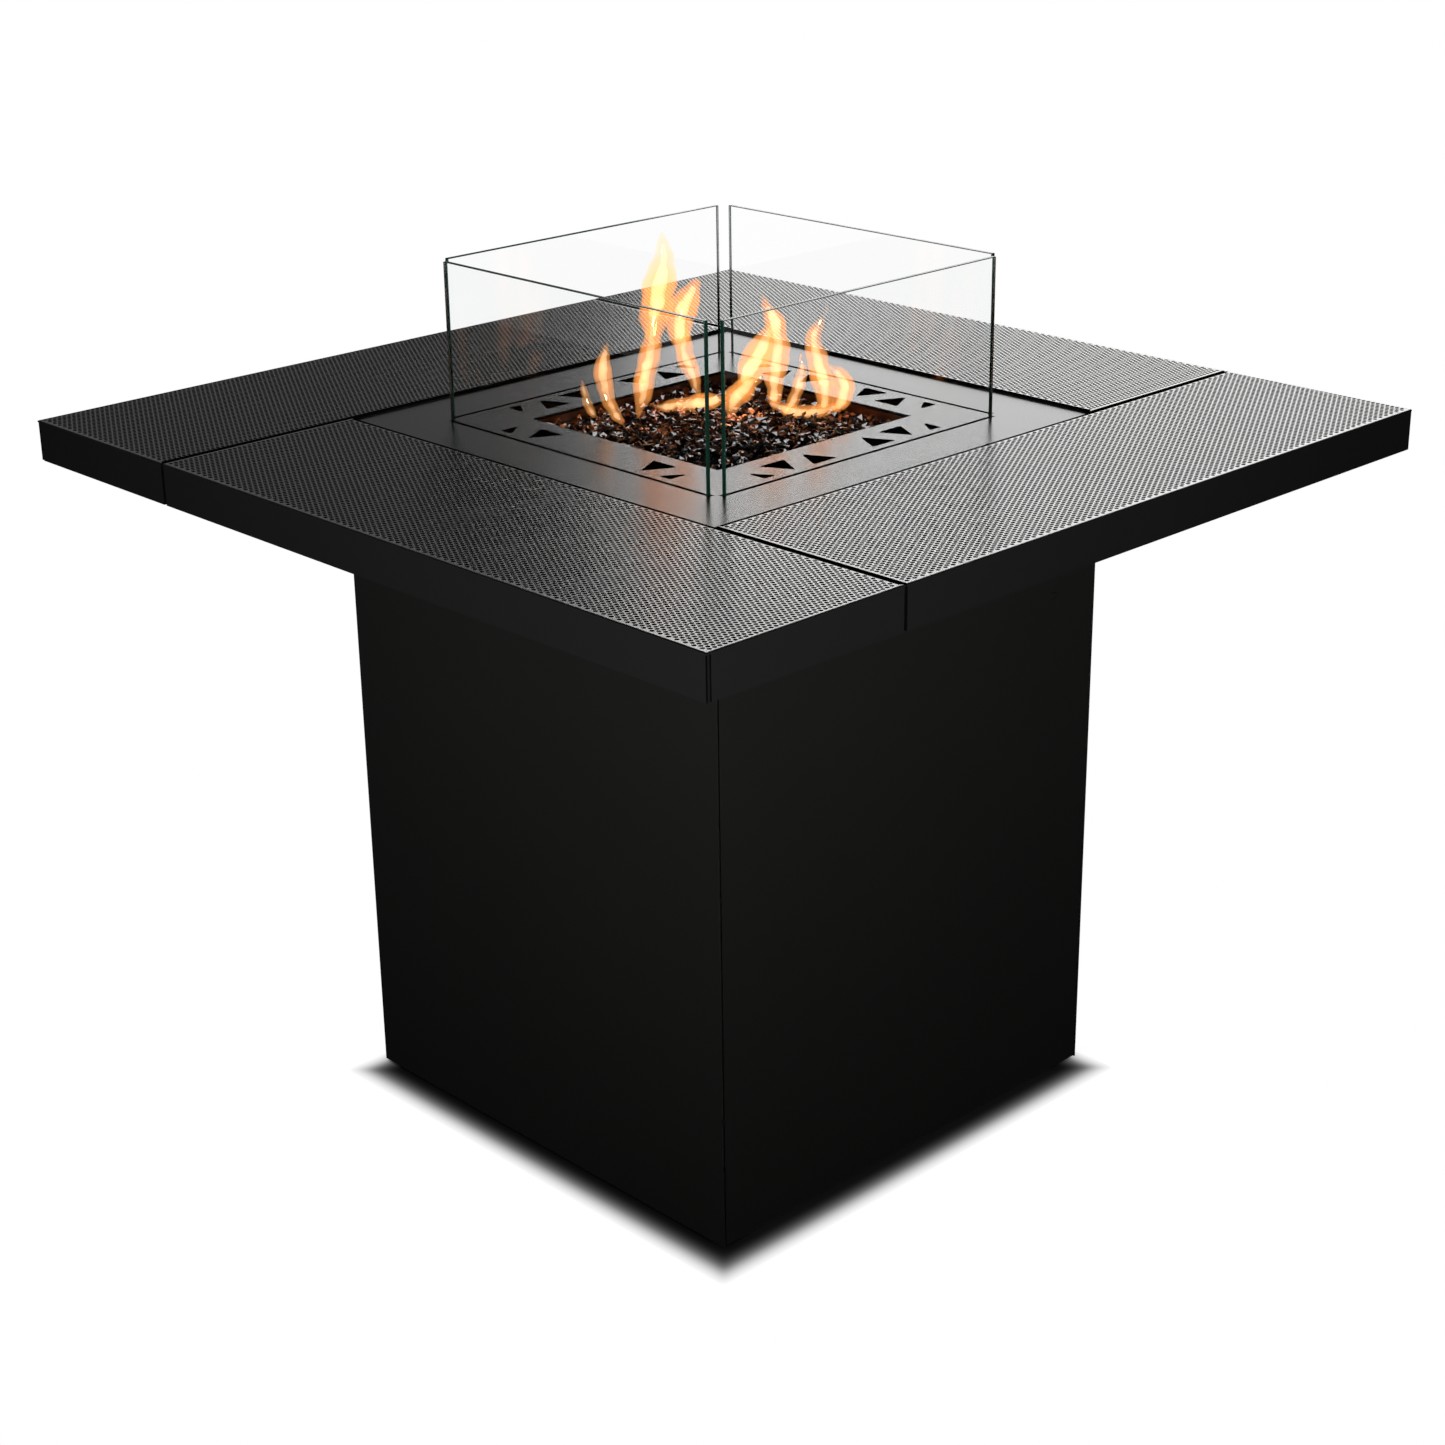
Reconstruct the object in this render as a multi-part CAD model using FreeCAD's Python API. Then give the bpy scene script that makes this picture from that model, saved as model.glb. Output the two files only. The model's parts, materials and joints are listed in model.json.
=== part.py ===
import FreeCAD, Part
import math
import os

# Square gas fire table: a pedestal with a hinged door carries four perforated boards
# laid in a pinwheel around a drop-in burner with a slotted cover and four glass panes.
# Millimetres, +Z up, +X is the door side, origin on the floor under the middle.

V = FreeCAD.Vector
Z_AXIS = V(0, 0, 1)
SIDES = ("front", "right", "back", "left")  # each is the one before, turned 90 degrees

# ---- driving dimensions -------------------------------------------------------------
TABLE_HALF = 500.0        # half the side of the table top
TABLE_TOP = 752.0         # height of the boards' upper face
SKIRT_DEPTH = 42.5        # visible edge of the boards
BOARD_SHEET = 2.0         # sheet that the boards are folded from
BOARD_LIP = 8.0           # folded lip on the inner and end edges
OPENING_HALF = 268.0      # boards' inner edges around the burner
BOARD_GAP = 1.5           # seam between neighbouring boards
CORNER_SLIT = 2.0         # open slit of the folded skirt at each table corner

PEDESTAL_HALF = 276.0     # half the side of the pedestal
PANEL_SHEET = 1.5
PANEL_BOTTOM = 3.0
FOOT_HEIGHT = 5.0
FOOT_RADIUS = 20.0
FOOT_PLACE = 230.0
BASE_SHEET = 3.0

RAIL_SIZE = 25.0          # square tube of the top frame and the arms
RAIL_WALL = 2.0
RAIL_TOP = TABLE_TOP - BOARD_SHEET - BOARD_LIP
RAIL_BOTTOM = RAIL_TOP - RAIL_SIZE
RAIL_OUTER = PEDESTAL_HALF - 1.0

POST_LEG = 40.0
POST_SHEET = 2.0
DOOR_POST_X = 258.0       # outer face of the two posts beside the door

COVER_HALF = 265.0        # slotted cover plate around the burner
COVER_TOP = TABLE_TOP - 2.5
COVER_SHEET = 2.5
COVER_HOLE_HALF = 137.0
PANE_PLACE = 200.0        # middle plane of each glass pane
PANE_THICK = 5.0
PANE_HALF = 190.0
PANE_TOP = 915.0
SLOT_WIDTH = 6.4
SLOT_HALF = 194.0

HOUSING_HALF = 213.5
HOUSING_SHEET = 1.5
HOUSING_FLOOR = 630.0
HOUSING_FLANGE_HALF = 264.0
PAN_HALF = 140.5
PAN_SHEET = 1.5
PAN_FLOOR = 664.0
PAN_TOP = 745.5
PORT_SPACING = 18.0       # between flame ports along a burner leg

HINGE_X = 270.0           # door hinge axis
HINGE_Y = -264.0
HINGE_PIN_RADIUS = 2.5
HINGE_KNUCKLE_RADIUS = 4.0
HINGE_BORE_CLEARANCE = 0.06
HINGE_HEIGHTS = (90.0, 590.0)
KNUCKLE_LENGTH = 25.0
DOOR_TOP = 700.0
DOOR_EDGE_HALF = 272.0

LOCK_Y = 208.0
LOCK_Z = 569.0
LOCK_HEAD_RADIUS = 4.3
LOCK_BARREL_RADIUS = 3.6
LOCK_CLEARANCE = 0.08

KNOB_Y = -40.0
BUTTON_Y = 45.0
CONTROL_Z = 598.0
CONTROL_FACE_X = 224.0
CONTROL_SHEET = 1.5


# ---- helpers ------------------------------------------------------------------------
def block(x0, x1, y0, y1, z0, z1):
    """Box between two corners."""
    return Part.makeBox(x1 - x0, y1 - y0, z1 - z0, V(x0, y0, z0))


def rod(radius, start, end):
    """Round bar from one point to another."""
    along = end - start
    return Part.makeCylinder(radius, along.Length, start, along)


def tube(outer, inner, start, end):
    """Round tube from one point to another."""
    return rod(outer, start, end).cut(rod(inner, start, end))


def turned(shape, quarters):
    """Copy of a shape turned about the middle of the table by quarter turns."""
    copy = shape.copy()
    copy.rotate(V(0, 0, 0), Z_AXIS, 90.0 * quarters)
    return copy


def joined(shapes):
    """One solid from shapes that touch or overlap."""
    result = shapes[0]
    if len(shapes) > 1:
        result = result.multiFuse(shapes[1:]).removeSplitter()
    return result


def prism(points, z0, height, round_radius):
    """Upright prism over a flat outline, with its upright edges rounded."""
    corners = [V(x, y, z0) for x, y in points]
    face = Part.Face(Part.makePolygon(corners + corners[:1]))
    solid = face.extrude(V(0, 0, height))
    upright = [edge for edge in solid.Edges if abs(edge.tangentAt(edge.FirstParameter).z) > 0.9]
    return solid.makeFillet(round_radius, upright)


def save(name, shape):
    """Check one sub-part and write it as its own node."""
    if not shape.isValid():
        raise RuntimeError(name + " is not a valid solid")
    shape.exportStep("parts/" + name + ".step")
    print(name, len(shape.Solids), round(shape.Volume / 1000.0, 1), "cm3")


# ---- pedestal -----------------------------------------------------------------------
def base_plate():
    """Floor of the pedestal with rows of slots that let spilt gas out."""
    reach = PEDESTAL_HALF - PANEL_SHEET - 0.5
    plate = block(-reach, DOOR_POST_X, -reach, reach, FOOT_HEIGHT, FOOT_HEIGHT + BASE_SHEET)
    slot_half_length = 45.0
    slot_half_width = 4.0
    for row in (-150.0, -110.0, 110.0, 150.0):
        for column in (-130.0, 0.0, 130.0):
            plate = plate.cut(block(column - slot_half_length, column + slot_half_length,
                                    row - slot_half_width, row + slot_half_width,
                                    FOOT_HEIGHT - 1.0, FOOT_HEIGHT + BASE_SHEET + 1.0))
    return plate


def foot_pads():
    """Four rubber pads glued under the floor plate."""
    pads = []
    for x in (-FOOT_PLACE, FOOT_PLACE):
        for y in (-FOOT_PLACE, FOOT_PLACE):
            pads.append(rod(FOOT_RADIUS, V(x, y, 0), V(x, y, FOOT_HEIGHT)))
    return Part.makeCompound(pads)


def post(side_x, side_y):
    """Angle post: one leg lies on the front or back panel, the other turns inwards."""
    inner_face = PEDESTAL_HALF - PANEL_SHEET
    outer_x = DOOR_POST_X if side_x > 0 else inner_face
    bottom = FOOT_HEIGHT + BASE_SHEET
    along = block(outer_x - POST_LEG, outer_x, inner_face - POST_SHEET, inner_face, bottom, RAIL_BOTTOM)
    across = block(outer_x - POST_SHEET, outer_x, inner_face - POST_LEG, inner_face, bottom, RAIL_BOTTOM)
    angle = joined([along, across])
    if side_x < 0:
        angle = angle.mirror(V(0, 0, 0), V(1, 0, 0))
    if side_y < 0:
        angle = angle.mirror(V(0, 0, 0), V(0, 1, 0))
    return angle


def end_panel():
    """Front panel: a flat sheet as wide as the pedestal."""
    return block(-PEDESTAL_HALF, PEDESTAL_HALF, -PEDESTAL_HALF, -PEDESTAL_HALF + PANEL_SHEET,
                 PANEL_BOTTOM, RAIL_BOTTOM)


def left_panel():
    """Side panel between the front and back panels."""
    reach = PEDESTAL_HALF - PANEL_SHEET - 0.5
    return block(-PEDESTAL_HALF, -PEDESTAL_HALF + PANEL_SHEET, -reach, reach, PANEL_BOTTOM, RAIL_BOTTOM)


def door_header():
    """Fixed strip over the door, with a shelf that is screwed up under the top rail."""
    reach = PEDESTAL_HALF - PANEL_SHEET - 0.5
    post_reach = reach - POST_LEG
    shelf_bottom = RAIL_BOTTOM - PANEL_SHEET
    face = block(PEDESTAL_HALF - PANEL_SHEET, PEDESTAL_HALF, -reach, reach, DOOR_TOP + 3.0, RAIL_BOTTOM)
    shelf = block(DOOR_POST_X, PEDESTAL_HALF, -reach, reach, shelf_bottom, RAIL_BOTTOM)
    tongue = block(DOOR_POST_X - 6.0, DOOR_POST_X, -post_reach, post_reach, shelf_bottom, RAIL_BOTTOM)
    return joined([face, shelf, tongue])


# ---- top frame ----------------------------------------------------------------------
def square_tube(x0, x1, y0, y1, along_x):
    """Square tube of the top frame, open at both ends."""
    outer = block(x0, x1, y0, y1, RAIL_BOTTOM, RAIL_TOP)
    wall = RAIL_WALL
    if along_x:
        inner = block(x0 - 1, x1 + 1, y0 + wall, y1 - wall, RAIL_BOTTOM + wall, RAIL_TOP - wall)
    else:
        inner = block(x0 + wall, x1 - wall, y0 - 1, y1 + 1, RAIL_BOTTOM + wall, RAIL_TOP - wall)
    return outer.cut(inner)


def housing_screw_places():
    """Eight places, two on each side, where the housing is screwed to the rails."""
    inset = RAIL_OUTER - RAIL_SIZE + 6.0
    places = []
    for quarter in range(4):
        for along in (-120.0, 120.0):
            spot = FreeCAD.Rotation(Z_AXIS, 90.0 * quarter).multVec(V(along, -inset, 0))
            places.append(spot)
    return places


def top_rails():
    """Four rails: front and back run through, left and right stand between them."""
    inner = RAIL_OUTER - RAIL_SIZE
    front = square_tube(-RAIL_OUTER, RAIL_OUTER, -RAIL_OUTER, -inner, True)
    right = square_tube(inner, RAIL_OUTER, -inner, inner, False)
    rails = {"front": front, "right": right, "back": turned(front, 2), "left": turned(right, 2)}
    for place in housing_screw_places():
        hole = rod(2.6, V(place.x, place.y, RAIL_TOP - 5.0), V(place.x, place.y, RAIL_TOP + 1.0))
        rails = {name: rail.cut(hole) for name, rail in rails.items()}
    return rails


def arm():
    """Arm that carries the front board's outer edge."""
    middle_x = (TABLE_HALF - OPENING_HALF) / 2.0
    outer_y = -TABLE_HALF + BOARD_SHEET + 1.0
    return square_tube(middle_x - RAIL_SIZE / 2.0, middle_x + RAIL_SIZE / 2.0, outer_y, -RAIL_OUTER, False)


# ---- boards -------------------------------------------------------------------------
STUD_RADIUS = 2.5
JOINER_HALF_WIDTH = 30.0
JOINER_SHEET = 3.0
JOINER_INNER = 300.0
JOINER_OUTER = 470.0


def joiner_stud_places():
    """Studs on the seam between the front and the right board, as x and y."""
    places = []
    for x in (JOINER_INNER + 15.0, JOINER_OUTER - 15.0):
        for offset in (-18.0, 18.0):
            places.append((x, -OPENING_HALF + offset))
    return places


def board():
    """Front board: a tray folded down on all sides, with an open slit at the table corner."""
    left = -OPENING_HALF + BOARD_GAP / 2.0
    right = TABLE_HALF
    front = -TABLE_HALF
    back = -OPENING_HALF - BOARD_GAP / 2.0
    sheet = BOARD_SHEET
    under = TABLE_TOP - sheet
    skirt_bottom = TABLE_TOP - SKIRT_DEPTH
    lip_bottom = under - BOARD_LIP
    top = block(left, right, front, back, under, TABLE_TOP)
    skirt = block(left, right - 1.0, front, front + sheet, skirt_bottom, under)
    end_skirt = block(right - sheet, right, front + sheet + CORNER_SLIT, back, skirt_bottom, under)
    inner_lip = block(left, right - 40.0, back - sheet, back, lip_bottom, under)
    end_lip = block(left, left + sheet, front + sheet, back, lip_bottom, under)
    studs = []
    for x, y in joiner_stud_places():
        if y < -OPENING_HALF:
            studs.append(rod(STUD_RADIUS, V(x, y, lip_bottom - 9.0), V(x, y, under)))
        else:
            twin = FreeCAD.Rotation(Z_AXIS, -90.0).multVec(V(x, y, 0))
            studs.append(rod(STUD_RADIUS, V(twin.x, twin.y, lip_bottom - 9.0), V(twin.x, twin.y, under)))
    return joined([top, skirt, end_skirt, inner_lip, end_lip] + studs)


def joiner():
    """Flat bar under the seam between the front and right boards."""
    top = RAIL_TOP
    bar = block(JOINER_INNER, JOINER_OUTER, -OPENING_HALF - JOINER_HALF_WIDTH,
                -OPENING_HALF + JOINER_HALF_WIDTH, top - JOINER_SHEET, top)
    for x, y in joiner_stud_places():
        bar = bar.cut(rod(STUD_RADIUS + 0.3, V(x, y, top - 10.0), V(x, y, top + 1.0)))
    return bar


def joiner_nuts():
    """Sixteen nuts that hold the joiners on the boards' studs."""
    nuts = []
    nut_top = RAIL_TOP - JOINER_SHEET
    nut_height = 4.0
    for quarter in range(4):
        for x, y in joiner_stud_places():
            hexagon = [V(x + 4.6 * math.cos(math.radians(60 * k)), y + 4.6 * math.sin(math.radians(60 * k)),
                         nut_top - nut_height) for k in range(6)]
            nut = Part.Face(Part.makePolygon(hexagon + hexagon[:1])).extrude(V(0, 0, nut_height))
            bore = rod(STUD_RADIUS + 0.05, V(x, y, nut_top - 10.0), V(x, y, nut_top + 1.0))
            nuts.append(turned(nut.cut(bore), quarter))
    return Part.makeCompound(nuts)


# ---- burner insert ------------------------------------------------------------------
VENT_OUTER = 188.0        # vents reach from VENT_INNER to VENT_OUTER from the middle
VENT_INNER = 155.0
VENT_ROUND = 2.0


def vent_outlines():
    """Half of one side's vents, as distance along the side and from the middle."""
    third = [(25.0, VENT_OUTER), (59.0, VENT_OUTER), (42.0, VENT_INNER)]
    second = [(67.0, VENT_INNER), (101.0, VENT_INNER), (84.0, VENT_OUTER)]
    small = [(109.0, VENT_OUTER), (126.0, VENT_OUTER), (126.0, VENT_OUTER - 25.0)]
    return third, second, small


def cover_plate():
    """Slotted cover: fire opening, four pane slots, triangular vents and a folded rim."""
    rim_depth = COVER_TOP - COVER_SHEET - RAIL_TOP - HOUSING_SHEET
    bottom = COVER_TOP - COVER_SHEET
    plate = block(-COVER_HALF, COVER_HALF, -COVER_HALF, COVER_HALF, bottom - rim_depth, COVER_TOP)
    hollow = COVER_HALF - COVER_SHEET
    plate = plate.cut(block(-hollow, hollow, -hollow, hollow, bottom - rim_depth - 1.0, bottom))
    cuts = [block(-COVER_HOLE_HALF, COVER_HOLE_HALF, -COVER_HOLE_HALF, COVER_HOLE_HALF,
                  bottom - 1.0, COVER_TOP + 1.0)]
    for quarter, side in enumerate(SIDES):
        slot = block(-SLOT_HALF, SLOT_HALF, -PANE_PLACE - SLOT_WIDTH / 2.0,
                     -PANE_PLACE + SLOT_WIDTH / 2.0, bottom - 1.0, COVER_TOP + 1.0)
        cuts.append(turned(slot, quarter))
        outlines = vent_outlines()
        if side == "front":
            outlines = outlines[1:]
        for outline in outlines:
            for mirror in (-1, 1):
                points = [(mirror * along, -out) for along, out in outline]
                vent = prism(points, bottom - 1.0, COVER_SHEET + 2.0, VENT_ROUND)
                cuts.append(turned(vent, quarter))
    return plate.cut(Part.makeCompound(cuts))


def open_box(half, sheet, floor, top):
    """Folded box with no lid."""
    outer = block(-half, half, -half, half, floor, top)
    inner_half = half - sheet
    return outer.cut(block(-inner_half, inner_half, -inner_half, inner_half, floor + sheet, top + 1.0))


def housing():
    """Drop-in box around the burner, with a flange that lies on the rails."""
    box = open_box(HOUSING_HALF, HOUSING_SHEET, HOUSING_FLOOR, RAIL_TOP + HOUSING_SHEET)
    flange = block(-HOUSING_FLANGE_HALF, HOUSING_FLANGE_HALF, -HOUSING_FLANGE_HALF, HOUSING_FLANGE_HALF,
                   RAIL_TOP, RAIL_TOP + HOUSING_SHEET)
    inner_half = HOUSING_HALF - HOUSING_SHEET
    flange = flange.cut(block(-inner_half, inner_half, -inner_half, inner_half,
                              RAIL_TOP - 1.0, RAIL_TOP + HOUSING_SHEET + 1.0))
    shape = joined([box, flange])
    shape = shape.cut(rod(24.0, V(0, 0, HOUSING_FLOOR - 5.0), V(0, 0, HOUSING_FLOOR + 5.0)))
    for x in (-170.0, 170.0):
        for y in (-100.0, 0.0, 100.0):
            shape = shape.cut(block(x - 5.0, x + 5.0, y - 35.0, y + 35.0,
                                    HOUSING_FLOOR - 5.0, HOUSING_FLOOR + 5.0))
    for place in housing_screw_places():
        shape = shape.cut(rod(2.6, V(place.x, place.y, RAIL_TOP - 2.0), V(place.x, place.y, RAIL_TOP + 5.0)))
    return shape


def housing_screws():
    """Eight pan-head screws through the housing flange into the rails."""
    screws = []
    head_bottom = RAIL_TOP + HOUSING_SHEET
    for place in housing_screw_places():
        shank = rod(2.5, V(place.x, place.y, RAIL_TOP - 10.0), V(place.x, place.y, head_bottom))
        head = rod(4.5, V(place.x, place.y, head_bottom), V(place.x, place.y, head_bottom + 2.5))
        screws.append(joined([shank, head]))
    return Part.makeCompound(screws)


def pan_stand():
    """Channel that carries the front half of the burner pan."""
    bottom = HOUSING_FLOOR + HOUSING_SHEET
    outer = block(-90.0, 90.0, -112.0, -88.0, bottom, PAN_FLOOR)
    return outer.cut(block(-91.0, 91.0, -110.0, -90.0, bottom + 2.0, PAN_FLOOR + 1.0))


SENSOR_X = 25.0
SENSOR_Y = 30.0


def burner_pan():
    """Open pan that holds the burner and the fire glass."""
    pan = open_box(PAN_HALF, PAN_SHEET, PAN_FLOOR, PAN_TOP)
    pan = pan.cut(rod(9.0, V(0, 0, PAN_FLOOR - 1.0), V(0, 0, PAN_FLOOR + 5.0)))
    for x in (-SENSOR_X, SENSOR_X):
        pan = pan.cut(rod(4.5, V(x, SENSOR_Y, PAN_FLOOR - 1.0), V(x, SENSOR_Y, PAN_FLOOR + 5.0)))
    return pan


BURNER_Z = 677.0
BURNER_RADIUS = 8.0
BURNER_LEG_X = 52.0
BURNER_LEG_HALF = 105.0


def burner_tube():
    """Two legs joined by a cross tube with a feed stub down through the pan."""
    wall = 1.5
    ends = BURNER_LEG_HALF
    shapes = [rod(BURNER_RADIUS, V(x, -ends, BURNER_Z), V(x, ends, BURNER_Z))
              for x in (-BURNER_LEG_X, BURNER_LEG_X)]
    shapes.append(rod(BURNER_RADIUS, V(-BURNER_LEG_X, 0, BURNER_Z), V(BURNER_LEG_X, 0, BURNER_Z)))
    shapes.append(rod(BURNER_RADIUS, V(0, 0, 652.0), V(0, 0, BURNER_Z)))
    body = joined(shapes)
    bore_radius = BURNER_RADIUS - wall
    for x in (-BURNER_LEG_X, BURNER_LEG_X):
        body = body.cut(rod(bore_radius, V(x, -ends + wall, BURNER_Z), V(x, ends - wall, BURNER_Z)))
    body = body.cut(rod(bore_radius, V(-BURNER_LEG_X, 0, BURNER_Z), V(BURNER_LEG_X, 0, BURNER_Z)))
    body = body.cut(rod(bore_radius, V(0, 0, 651.0), V(0, 0, BURNER_Z)))
    ports = []
    port_count = 5
    for x in (-BURNER_LEG_X, BURNER_LEG_X):
        for step in range(-port_count, port_count + 1):
            y = step * PORT_SPACING
            ports.append(rod(1.25, V(x, y, BURNER_Z), V(x, y, BURNER_Z + BURNER_RADIUS + 1.0)))
    return body.cut(Part.makeCompound(ports))


def air_mixer():
    """Tube under the burner with two side windows that draw in air."""
    body = tube(11.5, BURNER_RADIUS + 0.1, V(0, 0, 590.0), V(0, 0, 660.0))
    window = block(-20.0, 20.0, -4.0, 4.0, 598.0, 622.0)
    return body.cut(window)


def gas_orifice():
    """Brass jet with a hexagon that closes the mixer's lower end."""
    hexagon = [V(14.0 * math.cos(math.radians(60 * k)), 14.0 * math.sin(math.radians(60 * k)), 578.0)
               for k in range(6)]
    body = Part.Face(Part.makePolygon(hexagon + hexagon[:1])).extrude(V(0, 0, 12.0))
    jet = rod(4.0, V(0, 0, 590.0), V(0, 0, 597.0))
    return joined([body, jet]).cut(rod(0.8, V(0, 0, 577.0), V(0, 0, 598.0)))


GAS_PIPE_RADIUS = 4.5
VALVE_X0 = 186.0
VALVE_X1 = CONTROL_FACE_X - CONTROL_SHEET
INLET_RADIUS = 7.95       # hose nipple, a five-eighths inch flare thread
INLET_LENGTH = 16.0


def gas_pipe():
    """Rigid pipe from the valve to the jet, with two bends."""
    bend = 25.0
    start = V(VALVE_X0, KNOB_Y, CONTROL_Z)
    corner_one = V(120.0, KNOB_Y, CONTROL_Z)
    corner_two = V(120.0, KNOB_Y, 548.0)
    corner_three = V(0, 0, 548.0)
    end = V(0, 0, 578.0)
    points = [start, corner_one, corner_two, corner_three, end]
    edges = []
    last = start
    for k in range(1, len(points) - 1):
        back = (points[k - 1] - points[k]).normalize()
        ahead = (points[k + 1] - points[k]).normalize()
        arc_start = points[k] + back * bend
        arc_end = points[k] + ahead * bend
        bisector = (back + ahead).normalize()
        middle = points[k] + bisector * (bend * (math.sqrt(2.0) - 1.0))
        if (arc_start - last).Length > 0.01:
            edges.append(Part.LineSegment(last, arc_start).toShape())
        edges.append(Part.Arc(arc_start, middle, arc_end).toShape())
        last = arc_end
    edges.append(Part.LineSegment(last, end).toShape())
    path = Part.Wire(edges)
    ring = Part.Wire([Part.Circle(start, V(1, 0, 0), GAS_PIPE_RADIUS).toShape()])
    pipe = path.makePipeShell([ring], True, False)
    print("gas pipe volume check", round(pipe.Volume / (math.pi * GAS_PIPE_RADIUS ** 2 * path.Length), 4))
    return pipe


def gas_valve():
    """Brass valve behind the bracket: a bore for the knob's stem and a nipple for the hose."""
    body = block(VALVE_X0, VALVE_X1, KNOB_Y - 18.0, KNOB_Y + 18.0, CONTROL_Z - 18.0, CONTROL_Z + 18.0)
    nose = rod(8.0, V(VALVE_X1, KNOB_Y, CONTROL_Z), V(CONTROL_FACE_X + 1.0, KNOB_Y, CONTROL_Z))
    bore = rod(4.05, V(VALVE_X1 - 20.0, KNOB_Y, CONTROL_Z), V(CONTROL_FACE_X + 2.0, KNOB_Y, CONTROL_Z))
    inlet_x = VALVE_X0 + 11.0
    under = CONTROL_Z - 18.0
    collar = rod(10.0, V(inlet_x, KNOB_Y, under - 4.0), V(inlet_x, KNOB_Y, under))
    nipple = rod(INLET_RADIUS, V(inlet_x, KNOB_Y, under - 4.0 - INLET_LENGTH), V(inlet_x, KNOB_Y, under - 4.0))
    inlet_bore = rod(4.0, V(inlet_x, KNOB_Y, under - 25.0), V(inlet_x, KNOB_Y, under + 3.0))
    return joined([body, nose, collar, nipple]).cut(bore).cut(inlet_bore)


def control_bracket():
    """Angle under the housing with holes for the valve and the igniter."""
    face = block(CONTROL_FACE_X - CONTROL_SHEET, CONTROL_FACE_X, -90.0, 90.0, 555.0, HOUSING_FLOOR)
    shelf = block(150.0, CONTROL_FACE_X, -90.0, 90.0, HOUSING_FLOOR - CONTROL_SHEET, HOUSING_FLOOR)
    bracket = joined([face, shelf])
    for y, radius in ((KNOB_Y, 8.0), (BUTTON_Y, 11.0)):
        hole = rod(radius, V(CONTROL_FACE_X - 5.0, y, CONTROL_Z), V(CONTROL_FACE_X + 5.0, y, CONTROL_Z))
        bracket = bracket.cut(hole)
    return bracket


def control_knob():
    """Fluted knob with its stem."""
    face_x = CONTROL_FACE_X + 3.0
    grip_end = face_x + 22.0
    skirt = rod(22.0, V(face_x, KNOB_Y, CONTROL_Z), V(face_x + 5.0, KNOB_Y, CONTROL_Z))
    grip = rod(16.0, V(face_x, KNOB_Y, CONTROL_Z), V(grip_end, KNOB_Y, CONTROL_Z))
    grip = grip.makeFillet(1.5, [edge for edge in grip.Edges if abs(edge.CenterOfMass.x - grip_end) < 0.01])
    pointer = block(face_x + 5.0, grip_end + 2.0, KNOB_Y - 1.5, KNOB_Y + 1.5, CONTROL_Z, CONTROL_Z + 20.0)
    stem = rod(4.0, V(VALVE_X1 - 18.0, KNOB_Y, CONTROL_Z), V(face_x, KNOB_Y, CONTROL_Z))
    return joined([skirt, grip, pointer, stem])


def igniter_body():
    """Piezo igniter barrel with a collar on the bracket and a blind bore for the button."""
    barrel = rod(11.0, V(178.0, BUTTON_Y, CONTROL_Z), V(CONTROL_FACE_X, BUTTON_Y, CONTROL_Z))
    collar = rod(15.0, V(CONTROL_FACE_X, BUTTON_Y, CONTROL_Z), V(CONTROL_FACE_X + 4.0, BUTTON_Y, CONTROL_Z))
    bore = rod(8.08, V(195.0, BUTTON_Y, CONTROL_Z), V(CONTROL_FACE_X + 5.0, BUTTON_Y, CONTROL_Z))
    return joined([barrel, collar]).cut(bore)


def igniter_button():
    """Push button that slides in the igniter's bore."""
    end_x = CONTROL_FACE_X + 12.0
    button = rod(8.0, V(205.0, BUTTON_Y, CONTROL_Z), V(end_x, BUTTON_Y, CONTROL_Z))
    return button.makeFillet(1.5, [edge for edge in button.Edges if abs(edge.CenterOfMass.x - end_x) < 0.01])


def sensor(x, radius):
    """Upright pin beside the burner: the spark electrode or the flame sensor."""
    body = rod(radius, V(x, SENSOR_Y, PAN_FLOOR - 12.0), V(x, SENSOR_Y, PAN_FLOOR + 14.0))
    tip = rod(radius * 0.5, V(x, SENSOR_Y, PAN_FLOOR + 14.0), V(x, SENSOR_Y, PAN_FLOOR + 22.0))
    return joined([body, tip])


FIRE_GLASS_BOTTOM = 688.0
FIRE_GLASS_EDGE = 739.0
FIRE_GLASS_CROWN = 743.5


def fire_glass():
    """Bed of tumbled glass, a little higher in the middle than along the pan's walls."""
    half = PAN_HALF - PAN_SHEET - 0.3
    bed = block(-half, half, -half, half, FIRE_GLASS_BOTTOM, FIRE_GLASS_EDGE)
    lower = Part.makePolygon([V(-half, -half, FIRE_GLASS_EDGE), V(half, -half, FIRE_GLASS_EDGE),
                              V(half, half, FIRE_GLASS_EDGE), V(-half, half, FIRE_GLASS_EDGE),
                              V(-half, -half, FIRE_GLASS_EDGE)])
    crown = half * 0.55
    upper = Part.makePolygon([V(-crown, -crown, FIRE_GLASS_CROWN), V(crown, -crown, FIRE_GLASS_CROWN),
                              V(crown, crown, FIRE_GLASS_CROWN), V(-crown, crown, FIRE_GLASS_CROWN),
                              V(-crown, -crown, FIRE_GLASS_CROWN)])
    heap = Part.makeLoft([lower, upper], True, True)
    return joined([bed, heap])


CHANNEL_HALF_WIDTH = 5.5
CHANNEL_SHEET = 1.2
CHANNEL_BOTTOM = 728.0
CHANNEL_TOP = 746.0
GASKET_THICK = 1.5


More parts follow.
